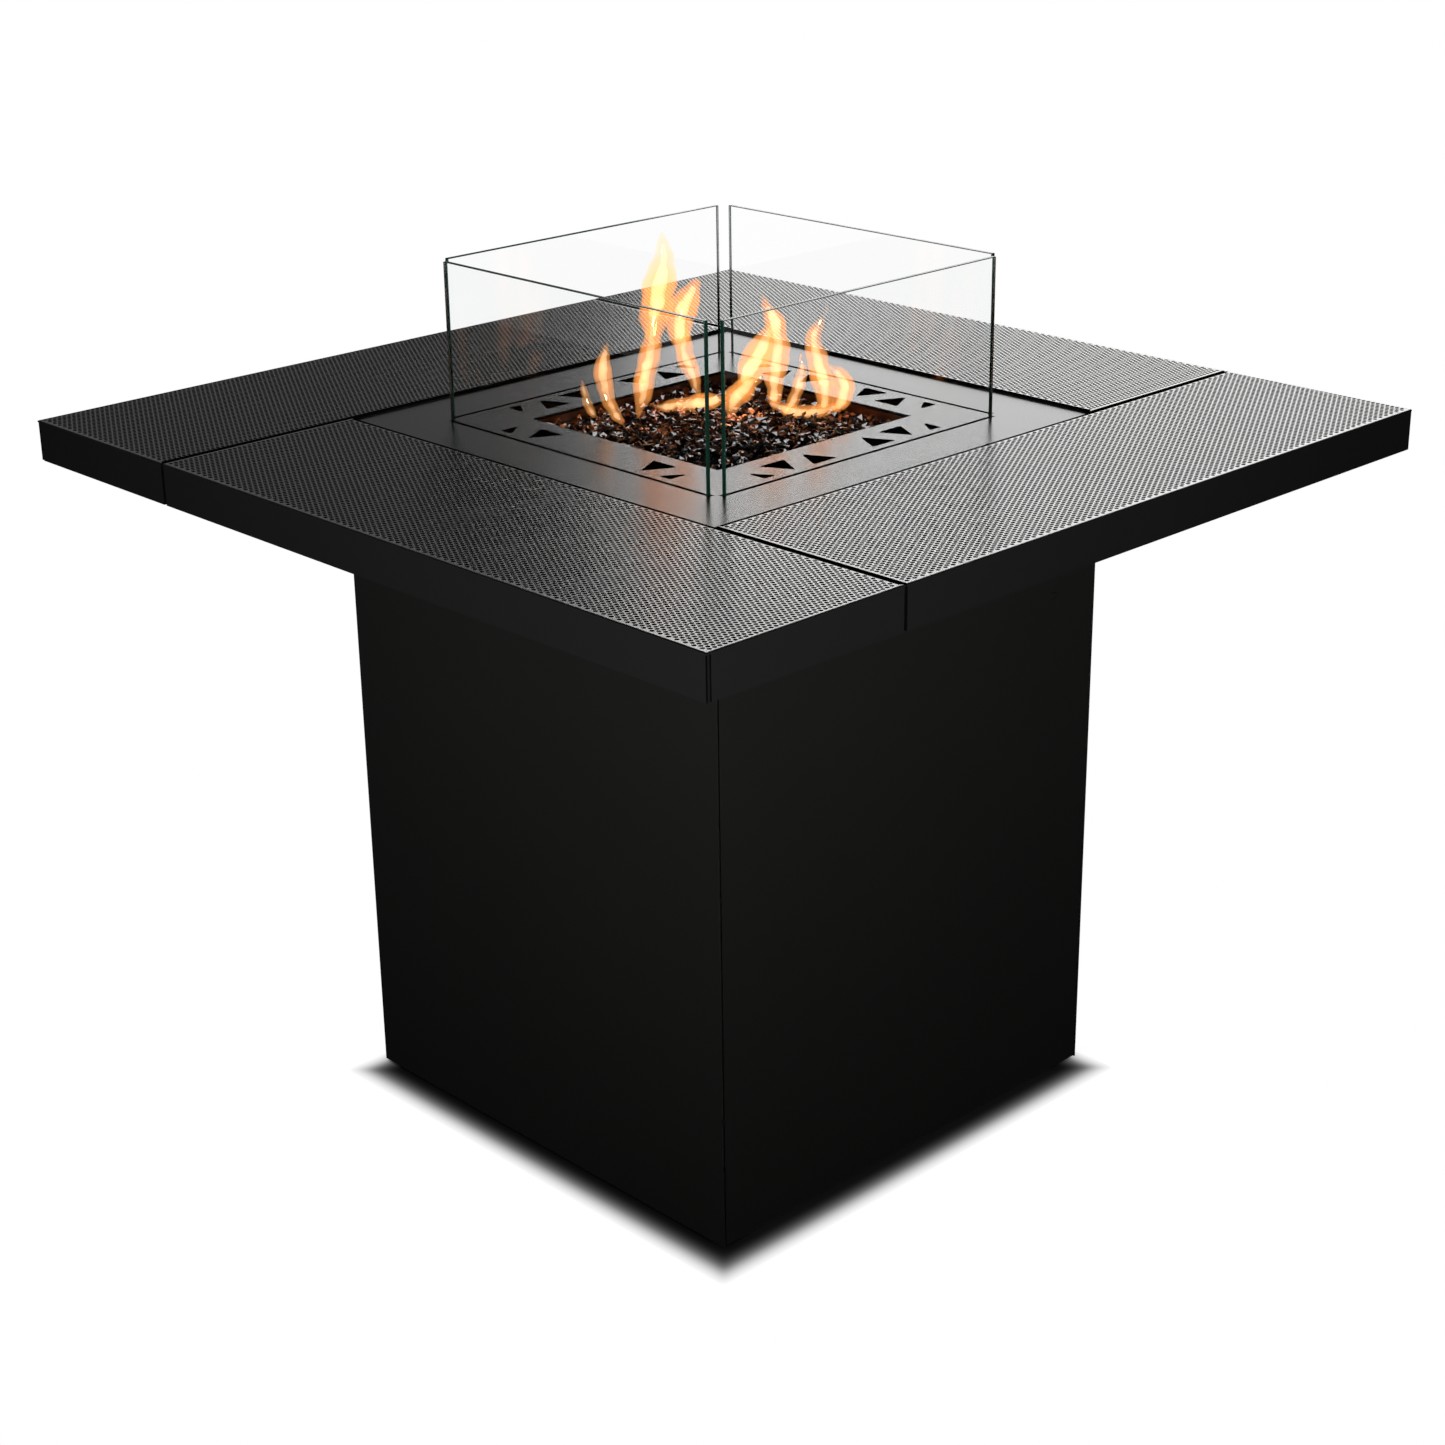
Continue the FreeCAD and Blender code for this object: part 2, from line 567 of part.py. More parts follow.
def pane_channel():
    """Folded channel under the front slot, welded to the housing wall by its flange."""
    y0 = -PANE_PLACE - CHANNEL_HALF_WIDTH
    y1 = -PANE_PLACE + CHANNEL_HALF_WIDTH
    outer = block(-SLOT_HALF, SLOT_HALF, y0, y1, CHANNEL_BOTTOM, CHANNEL_TOP)
    trough = block(-SLOT_HALF - 1.0, SLOT_HALF + 1.0, y0 + CHANNEL_SHEET, y1 - CHANNEL_SHEET,
                   CHANNEL_BOTTOM + CHANNEL_SHEET, CHANNEL_TOP + 1.0)
    flange = block(-SLOT_HALF, SLOT_HALF, -HOUSING_HALF + HOUSING_SHEET, y0,
                   CHANNEL_BOTTOM, CHANNEL_BOTTOM + CHANNEL_SHEET)
    return joined([outer.cut(trough), flange])


def pane_gaskets():
    """Four rubber liners that hold the panes in their channels."""
    y0 = -PANE_PLACE - CHANNEL_HALF_WIDTH + CHANNEL_SHEET
    y1 = -PANE_PLACE + CHANNEL_HALF_WIDTH - CHANNEL_SHEET
    bottom = CHANNEL_BOTTOM + CHANNEL_SHEET
    outer = block(-SLOT_HALF, SLOT_HALF, y0, y1, bottom, CHANNEL_TOP)
    groove = block(-SLOT_HALF - 1.0, SLOT_HALF + 1.0, y0 + GASKET_THICK, y1 - GASKET_THICK,
                   bottom + GASKET_THICK, CHANNEL_TOP + 1.0)
    liner = outer.cut(groove)
    return Part.makeCompound([turned(liner, quarter) for quarter in range(4)])


def pane():
    """Front glass pane standing in its liner."""
    bottom = CHANNEL_BOTTOM + CHANNEL_SHEET + GASKET_THICK
    return block(-PANE_HALF, PANE_HALF, -PANE_PLACE - PANE_THICK / 2.0, -PANE_PLACE + PANE_THICK / 2.0,
                 bottom, PANE_TOP)


# ---- door, hinges and lock ----------------------------------------------------------
def door():
    """Flat access door with a hole for the lock barrel."""
    sheet = block(PEDESTAL_HALF - PANEL_SHEET, PEDESTAL_HALF, -DOOR_EDGE_HALF, DOOR_EDGE_HALF,
                  FOOT_HEIGHT, DOOR_TOP)
    return sheet.cut(rod(LOCK_BARREL_RADIUS + LOCK_CLEARANCE, V(260.0, LOCK_Y, LOCK_Z), V(290.0, LOCK_Y, LOCK_Z)))


def hinge_frame_leaves():
    """Two lower knuckles on plates that are welded to the post beside the door."""
    leaves = []
    for z in HINGE_HEIGHTS:
        knuckle = rod(HINGE_KNUCKLE_RADIUS, V(HINGE_X, HINGE_Y, z), V(HINGE_X, HINGE_Y, z + KNUCKLE_LENGTH))
        web = block(DOOR_POST_X, HINGE_X, HINGE_Y - 0.8, HINGE_Y + 0.8, z, z + KNUCKLE_LENGTH)
        plate = block(DOOR_POST_X, DOOR_POST_X + 1.6, HINGE_Y - 0.8, HINGE_Y + 22.0, z, z + KNUCKLE_LENGTH)
        bore = rod(HINGE_PIN_RADIUS, V(HINGE_X, HINGE_Y, z - 1.0), V(HINGE_X, HINGE_Y, z + KNUCKLE_LENGTH + 1.0))
        leaves.append(joined([knuckle, web, plate]).cut(bore))
    return Part.makeCompound(leaves)


def hinge_pins():
    """Two pins fixed in the lower knuckles."""
    pins = []
    for z in HINGE_HEIGHTS:
        pins.append(rod(HINGE_PIN_RADIUS, V(HINGE_X, HINGE_Y, z), V(HINGE_X, HINGE_Y, z + 2.0 * KNUCKLE_LENGTH - 2.0)))
    return Part.makeCompound(pins)


def hinge_door_leaves():
    """Two upper knuckles that drop over the pins, on plates on the door's inner face."""
    leaves = []
    inner_face = PEDESTAL_HALF - PANEL_SHEET
    for z in HINGE_HEIGHTS:
        z0 = z + KNUCKLE_LENGTH + 0.4
        z1 = z0 + KNUCKLE_LENGTH
        knuckle = rod(HINGE_KNUCKLE_RADIUS, V(HINGE_X, HINGE_Y, z0), V(HINGE_X, HINGE_Y, z1))
        plate = block(inner_face - 1.6, inner_face, HINGE_Y, HINGE_Y + 32.0, z0, z1)
        bore = rod(HINGE_PIN_RADIUS + HINGE_BORE_CLEARANCE, V(HINGE_X, HINGE_Y, z0 - 1.0), V(HINGE_X, HINGE_Y, z1 + 1.0))
        leaves.append(joined([knuckle, plate]).cut(bore))
    return Part.makeCompound(leaves)


LOCK_INNER_X = 252.0
CAM_THICK = 3.0
CAM_REACH = 32.0


def lock_barrel():
    """Small quarter-turn lock: a ringed head with a key slot and a round shank."""
    head = rod(LOCK_HEAD_RADIUS, V(PEDESTAL_HALF, LOCK_Y, LOCK_Z), V(PEDESTAL_HALF + 1.5, LOCK_Y, LOCK_Z))
    head = head.cut(rod(2.4, V(PEDESTAL_HALF + 0.9, LOCK_Y, LOCK_Z), V(PEDESTAL_HALF + 2.0, LOCK_Y, LOCK_Z)))
    shank = rod(LOCK_BARREL_RADIUS, V(LOCK_INNER_X + CAM_THICK, LOCK_Y, LOCK_Z), V(PEDESTAL_HALF, LOCK_Y, LOCK_Z))
    key_slot = block(PEDESTAL_HALF - 6.0, PEDESTAL_HALF + 2.0, LOCK_Y - 0.4, LOCK_Y + 0.4,
                     LOCK_Z - 1.8, LOCK_Z + 1.8)
    return joined([head, shank]).cut(key_slot)


def lock_cam():
    """Tongue on the barrel: upright when released, behind the post when turned."""
    plate = block(LOCK_INNER_X, LOCK_INNER_X + CAM_THICK, LOCK_Y - 6.0, LOCK_Y + 6.0, LOCK_Z, LOCK_Z + CAM_REACH)
    boss = rod(8.0, V(LOCK_INNER_X, LOCK_Y, LOCK_Z), V(LOCK_INNER_X + CAM_THICK, LOCK_Y, LOCK_Z))
    return joined([plate, boss])


# ---- all the sub-parts --------------------------------------------------------------
def build():
    os.makedirs("parts", exist_ok=True)
    save("base_plate", base_plate())
    save("foot_pads", foot_pads())
    for x_name, side_x in (("left", -1), ("right", 1)):
        for y_name, side_y in (("front", -1), ("back", 1)):
            save("post_" + y_name + "_" + x_name, post(side_x, side_y))
    save("front_panel", end_panel())
    save("back_panel", turned(end_panel(), 2))
    save("left_panel", left_panel())
    save("door_header", door_header())
    for side, rail in top_rails().items():
        save("top_rail_" + side, rail)
    for quarter, side in enumerate(SIDES):
        next_side = SIDES[(quarter + 1) % 4]
        save("arm_" + side, turned(arm(), quarter))
        save("board_" + side, turned(board(), quarter))
        save("joiner_" + side + "_" + next_side, turned(joiner(), quarter))
        save("pane_channel_" + side, turned(pane_channel(), quarter))
        save("pane_" + side, turned(pane(), quarter))
    save("joiner_nuts", joiner_nuts())
    save("cover_plate", cover_plate())
    save("housing", housing())
    save("housing_screws", housing_screws())
    save("pan_stand_front", pan_stand())
    save("pan_stand_back", turned(pan_stand(), 2))
    save("burner_pan", burner_pan())
    save("burner_tube", burner_tube())
    save("air_mixer", air_mixer())
    save("gas_orifice", gas_orifice())
    save("gas_pipe", gas_pipe())
    save("gas_valve", gas_valve())
    save("control_bracket", control_bracket())
    save("control_knob", control_knob())
    save("igniter_body", igniter_body())
    save("igniter_button", igniter_button())
    save("igniter_electrode", sensor(SENSOR_X, 4.0))
    save("flame_sensor", sensor(-SENSOR_X, 3.0))
    save("fire_glass", fire_glass())
    save("pane_gaskets", pane_gaskets())
    save("door", door())
    save("hinge_frame_leaves", hinge_frame_leaves())
    save("hinge_pins", hinge_pins())
    save("hinge_door_leaves", hinge_door_leaves())
    save("lock_barrel", lock_barrel())
    save("lock_cam", lock_cam())


build()
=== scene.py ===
# %% [markdown]
# # A gas fire table, dressed for its portrait
# The table comes in as a finished set of metal and glass parts that already sit where
# they belong. This lesson keeps that skeleton and adds what the eye looks for: thousands
# of small round holes in the four top boards, clear panes with green edges, a bed of
# broken fire glass, and finishes that show grain and wear.
# The first lines load the frame. Everything below is in metres, with Z up.

# %% Load the frame
import json
import math
import random

import bmesh
import bpy
from bmesh.types import BMEdge, BMFace, BMVert
from mathutils import Matrix, Vector

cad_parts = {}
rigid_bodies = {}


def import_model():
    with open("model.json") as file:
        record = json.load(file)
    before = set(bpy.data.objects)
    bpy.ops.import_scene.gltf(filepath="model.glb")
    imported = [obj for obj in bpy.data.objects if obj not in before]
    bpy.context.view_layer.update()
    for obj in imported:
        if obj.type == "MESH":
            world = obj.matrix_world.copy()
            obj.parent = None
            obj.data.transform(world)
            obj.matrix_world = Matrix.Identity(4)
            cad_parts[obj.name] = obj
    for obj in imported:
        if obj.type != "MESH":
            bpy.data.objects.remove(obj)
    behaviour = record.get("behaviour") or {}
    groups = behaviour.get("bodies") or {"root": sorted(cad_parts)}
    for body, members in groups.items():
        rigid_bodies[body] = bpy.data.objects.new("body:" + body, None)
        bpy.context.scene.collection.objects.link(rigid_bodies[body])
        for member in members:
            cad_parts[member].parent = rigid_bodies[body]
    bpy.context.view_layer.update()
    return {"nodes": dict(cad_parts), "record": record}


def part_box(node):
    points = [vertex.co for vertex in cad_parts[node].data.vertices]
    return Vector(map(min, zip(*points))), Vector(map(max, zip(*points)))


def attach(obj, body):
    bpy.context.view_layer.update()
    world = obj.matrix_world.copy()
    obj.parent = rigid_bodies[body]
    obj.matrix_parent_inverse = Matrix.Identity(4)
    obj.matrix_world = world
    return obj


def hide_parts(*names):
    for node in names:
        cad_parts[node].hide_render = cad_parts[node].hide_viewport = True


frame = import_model()
MM = 0.001

# %% [markdown]
# ## Camera
# A product portrait lives or dies by its viewpoint. The camera stands off the corner
# between the front and the door side, a little above eye level for a table, with a long
# lens so that the square top keeps its shape. A camera is aimed by three directions of
# its own: right, up and backwards. They are worked out here from two angles and a small
# roll, then written as the columns of its matrix.

# %% Place the camera
CAMERA_AZIMUTH = math.radians(46.22)
CAMERA_ELEVATION = math.radians(21.78)
CAMERA_ROLL = -0.01367     # in radians
CAMERA_PLACE = Vector((1.91517, -1.83951, 1.47211))
CAMERA_SENSOR = 36.0       # width in mm
CAMERA_LENS = 66.21        # in mm


def aim_camera():
    """Camera with no shift and no depth of field, turned by azimuth, elevation and roll."""
    back = Vector((math.sin(CAMERA_AZIMUTH) * math.cos(CAMERA_ELEVATION),
                   -math.cos(CAMERA_AZIMUTH) * math.cos(CAMERA_ELEVATION),
                   math.sin(CAMERA_ELEVATION)))
    level_right = Vector((math.cos(CAMERA_AZIMUTH), math.sin(CAMERA_AZIMUTH), 0.0))
    level_up = back.cross(level_right)
    right = level_right * math.cos(CAMERA_ROLL) + level_up * math.sin(CAMERA_ROLL)
    up = level_up * math.cos(CAMERA_ROLL) - level_right * math.sin(CAMERA_ROLL)
    turn = Matrix((right, up, back)).transposed().to_4x4()
    data = bpy.data.cameras.new("portrait_camera")
    data.sensor_width = CAMERA_SENSOR
    data.lens = CAMERA_LENS
    camera = bpy.data.objects.new("portrait_camera", data)
    camera.matrix_world = Matrix.Translation(CAMERA_PLACE) @ turn
    bpy.context.scene.collection.objects.link(camera)
    bpy.context.scene.camera = camera
    return camera


camera = aim_camera()
print("camera at", [round(v, 3) for v in camera.location])

# %% [markdown]
# ## Tools for making finishes
# Every finish here is a small graph of nodes. The helper below makes a material, gives
# back its tree and its Principled shader, and sets the plain numbers straight on the
# shader's own sockets, which keeps them readable and easy to export.

# %% Material helpers


def new_material(name, **settings):
    """Material with a Principled shader whose sockets take the given constant values."""
    material = bpy.data.materials.new(name)
    material.use_nodes = True
    tree = material.node_tree
    shader = tree.nodes["Principled BSDF"]
    for label, value in settings.items():
        shader.inputs[label.replace("_", " ")].default_value = value
    return material, tree, shader


def object_coordinates(tree):
    """Object coordinates, so that a pattern keeps its true size on every piece."""
    return tree.nodes.new("ShaderNodeTexCoord").outputs["Object"]


def noise(tree, vector, scale, detail):
    """Noise texture on the given coordinates; gives its grey output."""
    node = tree.nodes.new("ShaderNodeTexNoise")
    node.inputs["Scale"].default_value = scale
    node.inputs["Detail"].default_value = detail
    node.inputs["Roughness"].default_value = 0.55
    tree.links.new(vector, node.inputs["Vector"])
    return node.outputs["Fac"]


NOISE_LOW, NOISE_HIGH = 0.3, 0.7   # noise seldom leaves this range


def spread(tree, value, low, high):
    """Stretch a noise's grey value to run from low to high."""
    node = tree.nodes.new("ShaderNodeMapRange")
    node.inputs["From Min"].default_value = NOISE_LOW
    node.inputs["From Max"].default_value = NOISE_HIGH
    node.inputs["To Min"].default_value = low
    node.inputs["To Max"].default_value = high
    tree.links.new(value, node.inputs["Value"])
    return node.outputs["Result"]


def colour_ramp(tree, factor, stops, blend="LINEAR"):
    """Colour ramp through the given stops, each a position and a colour."""
    node = tree.nodes.new("ShaderNodeValToRGB")
    ramp = node.color_ramp
    ramp.interpolation = blend
    for element, (position, colour) in zip(ramp.elements, (stops[0], stops[-1])):
        element.position = position
        element.color = (*colour, 1.0)
    for position, colour in stops[1:-1]:
        ramp.elements.new(position).color = (*colour, 1.0)
    tree.links.new(factor, node.inputs["Fac"])
    return node.outputs["Color"]


print("material helpers ready")

# %% [markdown]
# ## A shared grain for coated and rolled metal
# Powder coat has a fine orange-peel skin, and rolled sheet has faint streaks. Both are a
# noise pattern that moves the roughness a little and tilts the surface normal. As more
# than one finish needs it, it is built once as a node group with named inputs and
# outputs, and each material sets its own grain size and depth.

# %% Build the grain group
GRAIN_HEIGHT = 0.4 * MM    # from the valleys of the grain to its tops, at a Bump of 1


def build_grain_group():
    """Node group: a cloudy mask, a roughness that varies, and a bumped normal."""
    group = bpy.data.node_groups.new("metal_grain", "ShaderNodeTree")
    face = group.interface
    face.new_socket("Vector", in_out="INPUT", socket_type="NodeSocketVector")
    for label, start in (("Grain Scale", 900.0), ("Cloud Scale", 6.0), ("Rough Low", 0.4),
                         ("Rough High", 0.5), ("Bump", 0.1)):
        face.new_socket(label, in_out="INPUT", socket_type="NodeSocketFloat").default_value = start
    face.new_socket("Cloud", in_out="OUTPUT", socket_type="NodeSocketFloat")
    face.new_socket("Roughness", in_out="OUTPUT", socket_type="NodeSocketFloat")
    face.new_socket("Normal", in_out="OUTPUT", socket_type="NodeSocketVector")
    nodes, links = group.nodes, group.links
    into = nodes.new("NodeGroupInput")
    out = nodes.new("NodeGroupOutput")
    fine = nodes.new("ShaderNodeTexNoise")
    fine.inputs["Detail"].default_value = 2.0
    cloud = nodes.new("ShaderNodeTexNoise")
    cloud.inputs["Detail"].default_value = 5.0
    cloud.inputs["Roughness"].default_value = 0.6
    bump = nodes.new("ShaderNodeBump")
    bump.inputs["Distance"].default_value = GRAIN_HEIGHT
    rough = nodes.new("ShaderNodeMapRange")
    rough.inputs["From Min"].default_value = NOISE_LOW
    rough.inputs["From Max"].default_value = NOISE_HIGH
    for texture, label in ((fine, "Grain Scale"), (cloud, "Cloud Scale")):
        links.new(into.outputs["Vector"], texture.inputs["Vector"])
        links.new(into.outputs[label], texture.inputs["Scale"])
    links.new(into.outputs["Rough Low"], rough.inputs["To Min"])
    links.new(into.outputs["Rough High"], rough.inputs["To Max"])
    links.new(cloud.outputs["Fac"], rough.inputs["Value"])
    links.new(fine.outputs["Fac"], bump.inputs["Height"])
    links.new(into.outputs["Bump"], bump.inputs["Strength"])
    links.new(cloud.outputs["Fac"], out.inputs["Cloud"])
    links.new(rough.outputs["Result"], out.inputs["Roughness"])
    links.new(bump.outputs["Normal"], out.inputs["Normal"])
    return group


GRAIN = build_grain_group()


def grained(name, dark, light, rough, grain, cloud, bump, **settings):
    """Metal, paint, plastic or rubber: two close tones in soft clouds, with the shared grain."""
    material, tree, shader = new_material(name, **settings)
    group = tree.nodes.new("ShaderNodeGroup")
    group.node_tree = GRAIN
    group.inputs["Grain Scale"].default_value = grain
    group.inputs["Cloud Scale"].default_value = cloud
    group.inputs["Rough Low"].default_value = rough[0]
    group.inputs["Rough High"].default_value = rough[1]
    group.inputs["Bump"].default_value = bump
    tree.links.new(object_coordinates(tree), group.inputs["Vector"])
    tone = colour_ramp(tree, group.outputs["Cloud"], ((0.0, dark), (1.0, light)))
    tree.links.new(tone, shader.inputs["Base Color"])
    tree.links.new(group.outputs["Roughness"], shader.inputs["Roughness"])
    tree.links.new(group.outputs["Normal"], shader.inputs["Normal"])
    return material


print("grain group outputs", [s.name for s in GRAIN.interface.items_tree if s.in_out == "OUTPUT"])

# %% [markdown]
# ## Finishes for the metalwork
# The boards' top skin and the burner cover are satin sheet that mirrors the bright end of
# the studio. The pedestal and the boards' edges are black powder coat, which scatters
# light and keeps only a soft sheen. Parts inside get plainer versions: bare sheet, brass,
# blued steel near the fire. Plastic, rubber and ceramic are made the same way.

# %% Make the finishes
board_skin = grained("board_skin", (0.262, 0.260, 0.255), (0.288, 0.286, 0.281), (0.255, 0.285),
                     grain=1400.0, cloud=9.0, bump=0.004, Metallic=1.0)
# Near black with no sheen: painted shade for the holes, the cut wall ends, the strips along the burner and
# the strip behind each seam.
painted_shade_black = grained("painted_shade_black", (0.003, 0.003, 0.003), (0.005, 0.005, 0.005), (0.8, 0.9),
                    grain=1400.0, cloud=9.0, bump=0.004, Metallic=0.0, Specular_IOR_Level=0.0)
powder_edge = grained("powder_edge", (0.0165, 0.0165, 0.0165), (0.020, 0.020, 0.0197), (0.42, 0.5),
                      grain=1600.0, cloud=7.0, bump=0.12, Metallic=0.0, Specular_IOR_Level=0.25)
powder_panel = grained("powder_panel", (0.0185, 0.0183, 0.0175), (0.0225, 0.0222, 0.0212), (0.45, 0.55),
                       grain=1600.0, cloud=4.0, bump=0.12, Metallic=0.0, Specular_IOR_Level=0.25)
powder_inside = grained("powder_inside", (0.012, 0.012, 0.012), (0.018, 0.018, 0.017), (0.5, 0.6),
                        grain=1200.0, cloud=8.0, bump=0.15, Metallic=0.0, Specular_IOR_Level=0.3)
satin_cover = grained("satin_cover", (0.062, 0.061, 0.060), (0.069, 0.068, 0.067), (0.25, 0.27),
                      grain=900.0, cloud=5.0, bump=0.0015, Metallic=1.0)
bare_sheet = grained("bare_sheet", (0.30, 0.30, 0.30), (0.46, 0.46, 0.45), (0.35, 0.5),
                     grain=700.0, cloud=14.0, bump=0.08, Metallic=1.0)
burnt_steel = grained("burnt_steel", (0.16, 0.075, 0.04), (0.40, 0.22, 0.13), (0.35, 0.55),
                      grain=300.0, cloud=22.0, bump=0.1, Metallic=1.0)
plated_steel = grained("plated_steel", (0.45, 0.44, 0.40), (0.62, 0.61, 0.57), (0.28, 0.4),
                       grain=900.0, cloud=40.0, bump=0.06, Metallic=1.0)
turned_brass = grained("turned_brass", (0.52, 0.36, 0.13), (0.72, 0.54, 0.24), (0.22, 0.36),
                       grain=900.0, cloud=60.0, bump=0.05, Metallic=1.0)
drawn_pipe = grained("drawn_pipe", (0.58, 0.58, 0.58), (0.74, 0.74, 0.74), (0.25, 0.38),
                     grain=900.0, cloud=30.0, bump=0.05, Metallic=1.0)
blackened_lock = grained("blackened_lock", (0.016, 0.016, 0.0155), (0.021, 0.021, 0.020), (0.34, 0.42),
                         grain=1500.0, cloud=200.0, bump=0.04, Metallic=0.0, Specular_IOR_Level=0.35)
black_plastic = grained("black_plastic", (0.016, 0.016, 0.016), (0.024, 0.024, 0.024), (0.42, 0.55),
                        grain=2500.0, cloud=50.0, bump=0.2, Metallic=0.0)
red_plastic = grained("red_plastic", (0.26, 0.018, 0.012), (0.34, 0.03, 0.02), (0.3, 0.42),
                      grain=2500.0, cloud=80.0, bump=0.1, Metallic=0.0)
black_rubber = grained("black_rubber", (0.010, 0.010, 0.010), (0.018, 0.018, 0.018), (0.7, 0.85),
                       grain=1800.0, cloud=40.0, bump=0.3, Metallic=0.0)
white_ceramic = grained("white_ceramic", (0.70, 0.68, 0.62), (0.82, 0.80, 0.75), (0.4, 0.55),
                        grain=1200.0, cloud=90.0, bump=0.1, Metallic=0.0)
print("finishes made:", len(bpy.data.materials))

# %% [markdown]
# ## Dress the parts that stay
# Many parts already have the right shape, so they only need a finish. Each part names a
# material slot in the record, and this table says which finish a slot gets. Assigning to
# the slot of the object leaves the mesh itself alone.

# %% Assign finishes by slot
SLOT_FINISH = {
    "board_paint": powder_edge, "panel_paint": powder_panel, "frame_paint": powder_inside,
    "rubber_pad": black_rubber, "gasket_rubber": black_rubber, "zinc_fasteners": plated_steel,
    "cover_steel": satin_cover, "housing_steel": bare_sheet, "heated_steel": burnt_steel,
    "mixer_steel": plated_steel, "gas_brass": turned_brass, "gas_pipe_metal": drawn_pipe,
    "knob_plastic": black_plastic, "igniter_plastic": black_plastic, "button_plastic": red_plastic,
    "electrode_ceramic": white_ceramic, "lock_metal": blackened_lock,
}
slot_of_node = {row["node"]: row["material_slot"] for row in frame["record"]["subparts"]}


def dress_nodes():
    """Give each carried-over part the finish of its slot."""
    dressed = 0
    for node, part in frame["nodes"].items():
        finish = SLOT_FINISH.get(slot_of_node[node])
        if finish is None:
            continue
        for material_slot in part.material_slots:
            material_slot.link = "OBJECT"
            material_slot.material = finish
        dressed += 1
    return dressed


print("parts dressed:", dress_nodes())

# %% [markdown]
# ## Tools for making pieces
# A piece starts as a bmesh, Blender's editable mesh. When its shape is done it becomes an
# object at the origin, rides on one of the frame's bodies, and stands for the part that it
# replaces. Faces are flat-shaded, which suits sheet and broken glass.

# %% Piece helpers


def solid_box(bm, low, high):
    """Add a box between two corners and return its vertices."""
    size = Vector(high) - Vector(low)
    middle = (Vector(high) + Vector(low)) / 2.0
    place = Matrix.Translation(middle) @ Matrix.Diagonal((size.x, size.y, size.z, 1.0))
    return bmesh.ops.create_cube(bm, size=1.0, matrix=place)["verts"]


def round_edges(bm, edges, radius):
    """Round the given edges in two steps."""
    bmesh.ops.bevel(bm, geom=edges, offset=radius, segments=2, profile=0.5,
                    affect="EDGES", material=-1, clamp_overlap=True)


def object_from(bm, name, finishes):
    """Turn a bmesh into an object in the scene, with flat faces and the given finishes."""
    mesh = bpy.data.meshes.new(name)
    bm.to_mesh(mesh)
    bm.free()
    for finish in finishes:
        mesh.materials.append(finish)
    for face in mesh.polygons:
        face.use_smooth = False
    made = bpy.data.objects.new(name, mesh)
    bpy.context.scene.collection.objects.link(made)
    return made


def make_piece(bm, name, body, finishes, replaced):
    """Turn a bmesh into a piece of the table, in place of the named parts."""
    piece = object_from(bm, name, finishes)
    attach(piece, body)
    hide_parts(*replaced)
    print(name, "faces", len(piece.data.polygons))


print("piece helpers ready")

# %% [markdown]
# ## The boards: one cell of perforated sheet
# Each board has about six thousand small round holes, set in rows where every second row
# is shifted by half a step. Nobody models those one by one. One rectangular cell is
# made with its hole in the middle, and it is repeated. Each hole is blind: its rim is
# extruded down and closed with a floor, so a board stays one closed shell. Its walls and
# floor are painted near black as shade. Seven sides look round at this size and keep the
# triangle count of a board in hand.

# %% Make one cell
HOLE_STEP = 5.6 * MM       # from hole to hole along a row
ROW_STEP = 4.85 * MM       # from row to row
HOLE_RADIUS = 2.3 * MM
HOLE_DEPTH = 1.4 * MM
HOLE_SIDES = 7
MERGE = 0.1 * MM           # points closer than this become one
# The third finish number marks faces painted near black as shade.
SKIN, EDGE, PAINTED_SHADE = 0, 1, 2  # finish numbers inside a board


def cell_frame(bm, x, y, parts):
    """Outline of a cell that is some half steps long, with a point at each half step."""
    right = [bm.verts.new((x + ROW_STEP, y + k * HOLE_STEP / 2.0, 0)) for k in range(parts + 1)]
    left = [bm.verts.new((x, y + k * HOLE_STEP / 2.0, 0)) for k in range(parts, -1, -1)]
    loop = right + left
    return [bm.edges.new((loop[k - 1], loop[k])) for k in range(len(loop))]


def blank_cell(bm, x, y):
    """Half a cell with no hole, which ends a shifted row."""
    face = bmesh.ops.contextual_create(bm, geom=cell_frame(bm, x, y, 1))["faces"][0]
    face.material_index = SKIN


def only(kind, items):
    """Only the points, edges or faces of a mixed list of mesh parts."""
    return [item for item in items if isinstance(item, kind)]


def hole_cell(bm, x, y):
    """One cell with a blind hole in its middle."""
    outline = cell_frame(bm, x, y, 2)
    middle = Matrix.Translation((x + ROW_STEP / 2.0, y + HOLE_STEP / 2.0, 0))
    ring = bmesh.ops.create_circle(bm, segments=HOLE_SIDES, radius=HOLE_RADIUS, matrix=middle)["verts"]
    rim = list({edge for vert in ring for edge in vert.link_edges})
    bmesh.ops.triangle_fill(bm, edges=outline + rim, use_beauty=True)
    wall = bmesh.ops.extrude_edge_only(bm, edges=rim)["geom"]
    lowered = only(BMVert, wall)
    bmesh.ops.translate(bm, verts=lowered, vec=(0, 0, -HOLE_DEPTH))
    low_rim = [edge for edge in only(BMEdge, wall) if all(vert in lowered for vert in edge.verts)]
    floor = bmesh.ops.contextual_create(bm, geom=low_rim)["faces"]
    # The hole's walls and floor are painted near black as shade.
    for face in only(BMFace, wall) + floor:
        face.material_index = PAINTED_SHADE


def repeat(bm, step, count):
    """Copies of everything in the mesh, each one step further than the last."""
    whole = bm.verts[:] + bm.edges[:] + bm.faces[:]
    for k in range(1, count):
        moved = only(BMVert, bmesh.ops.duplicate(bm, geom=whole)["geom"])
        bmesh.ops.translate(bm, verts=moved, vec=step * k)


print("holes in a square metre:", round(1.0 / (HOLE_STEP * ROW_STEP)))

# %% [markdown]
# ## A field of holes
# A field is built from a pair of rows: a full row, and beside it a row that starts and
# ends with half a blank cell. The pair is repeated across the field, and the doubled
# points along the shared edges are merged. The last step stretches the field by a hair,
# so that whole cells fill the room exactly.

# %% Build a field of holes


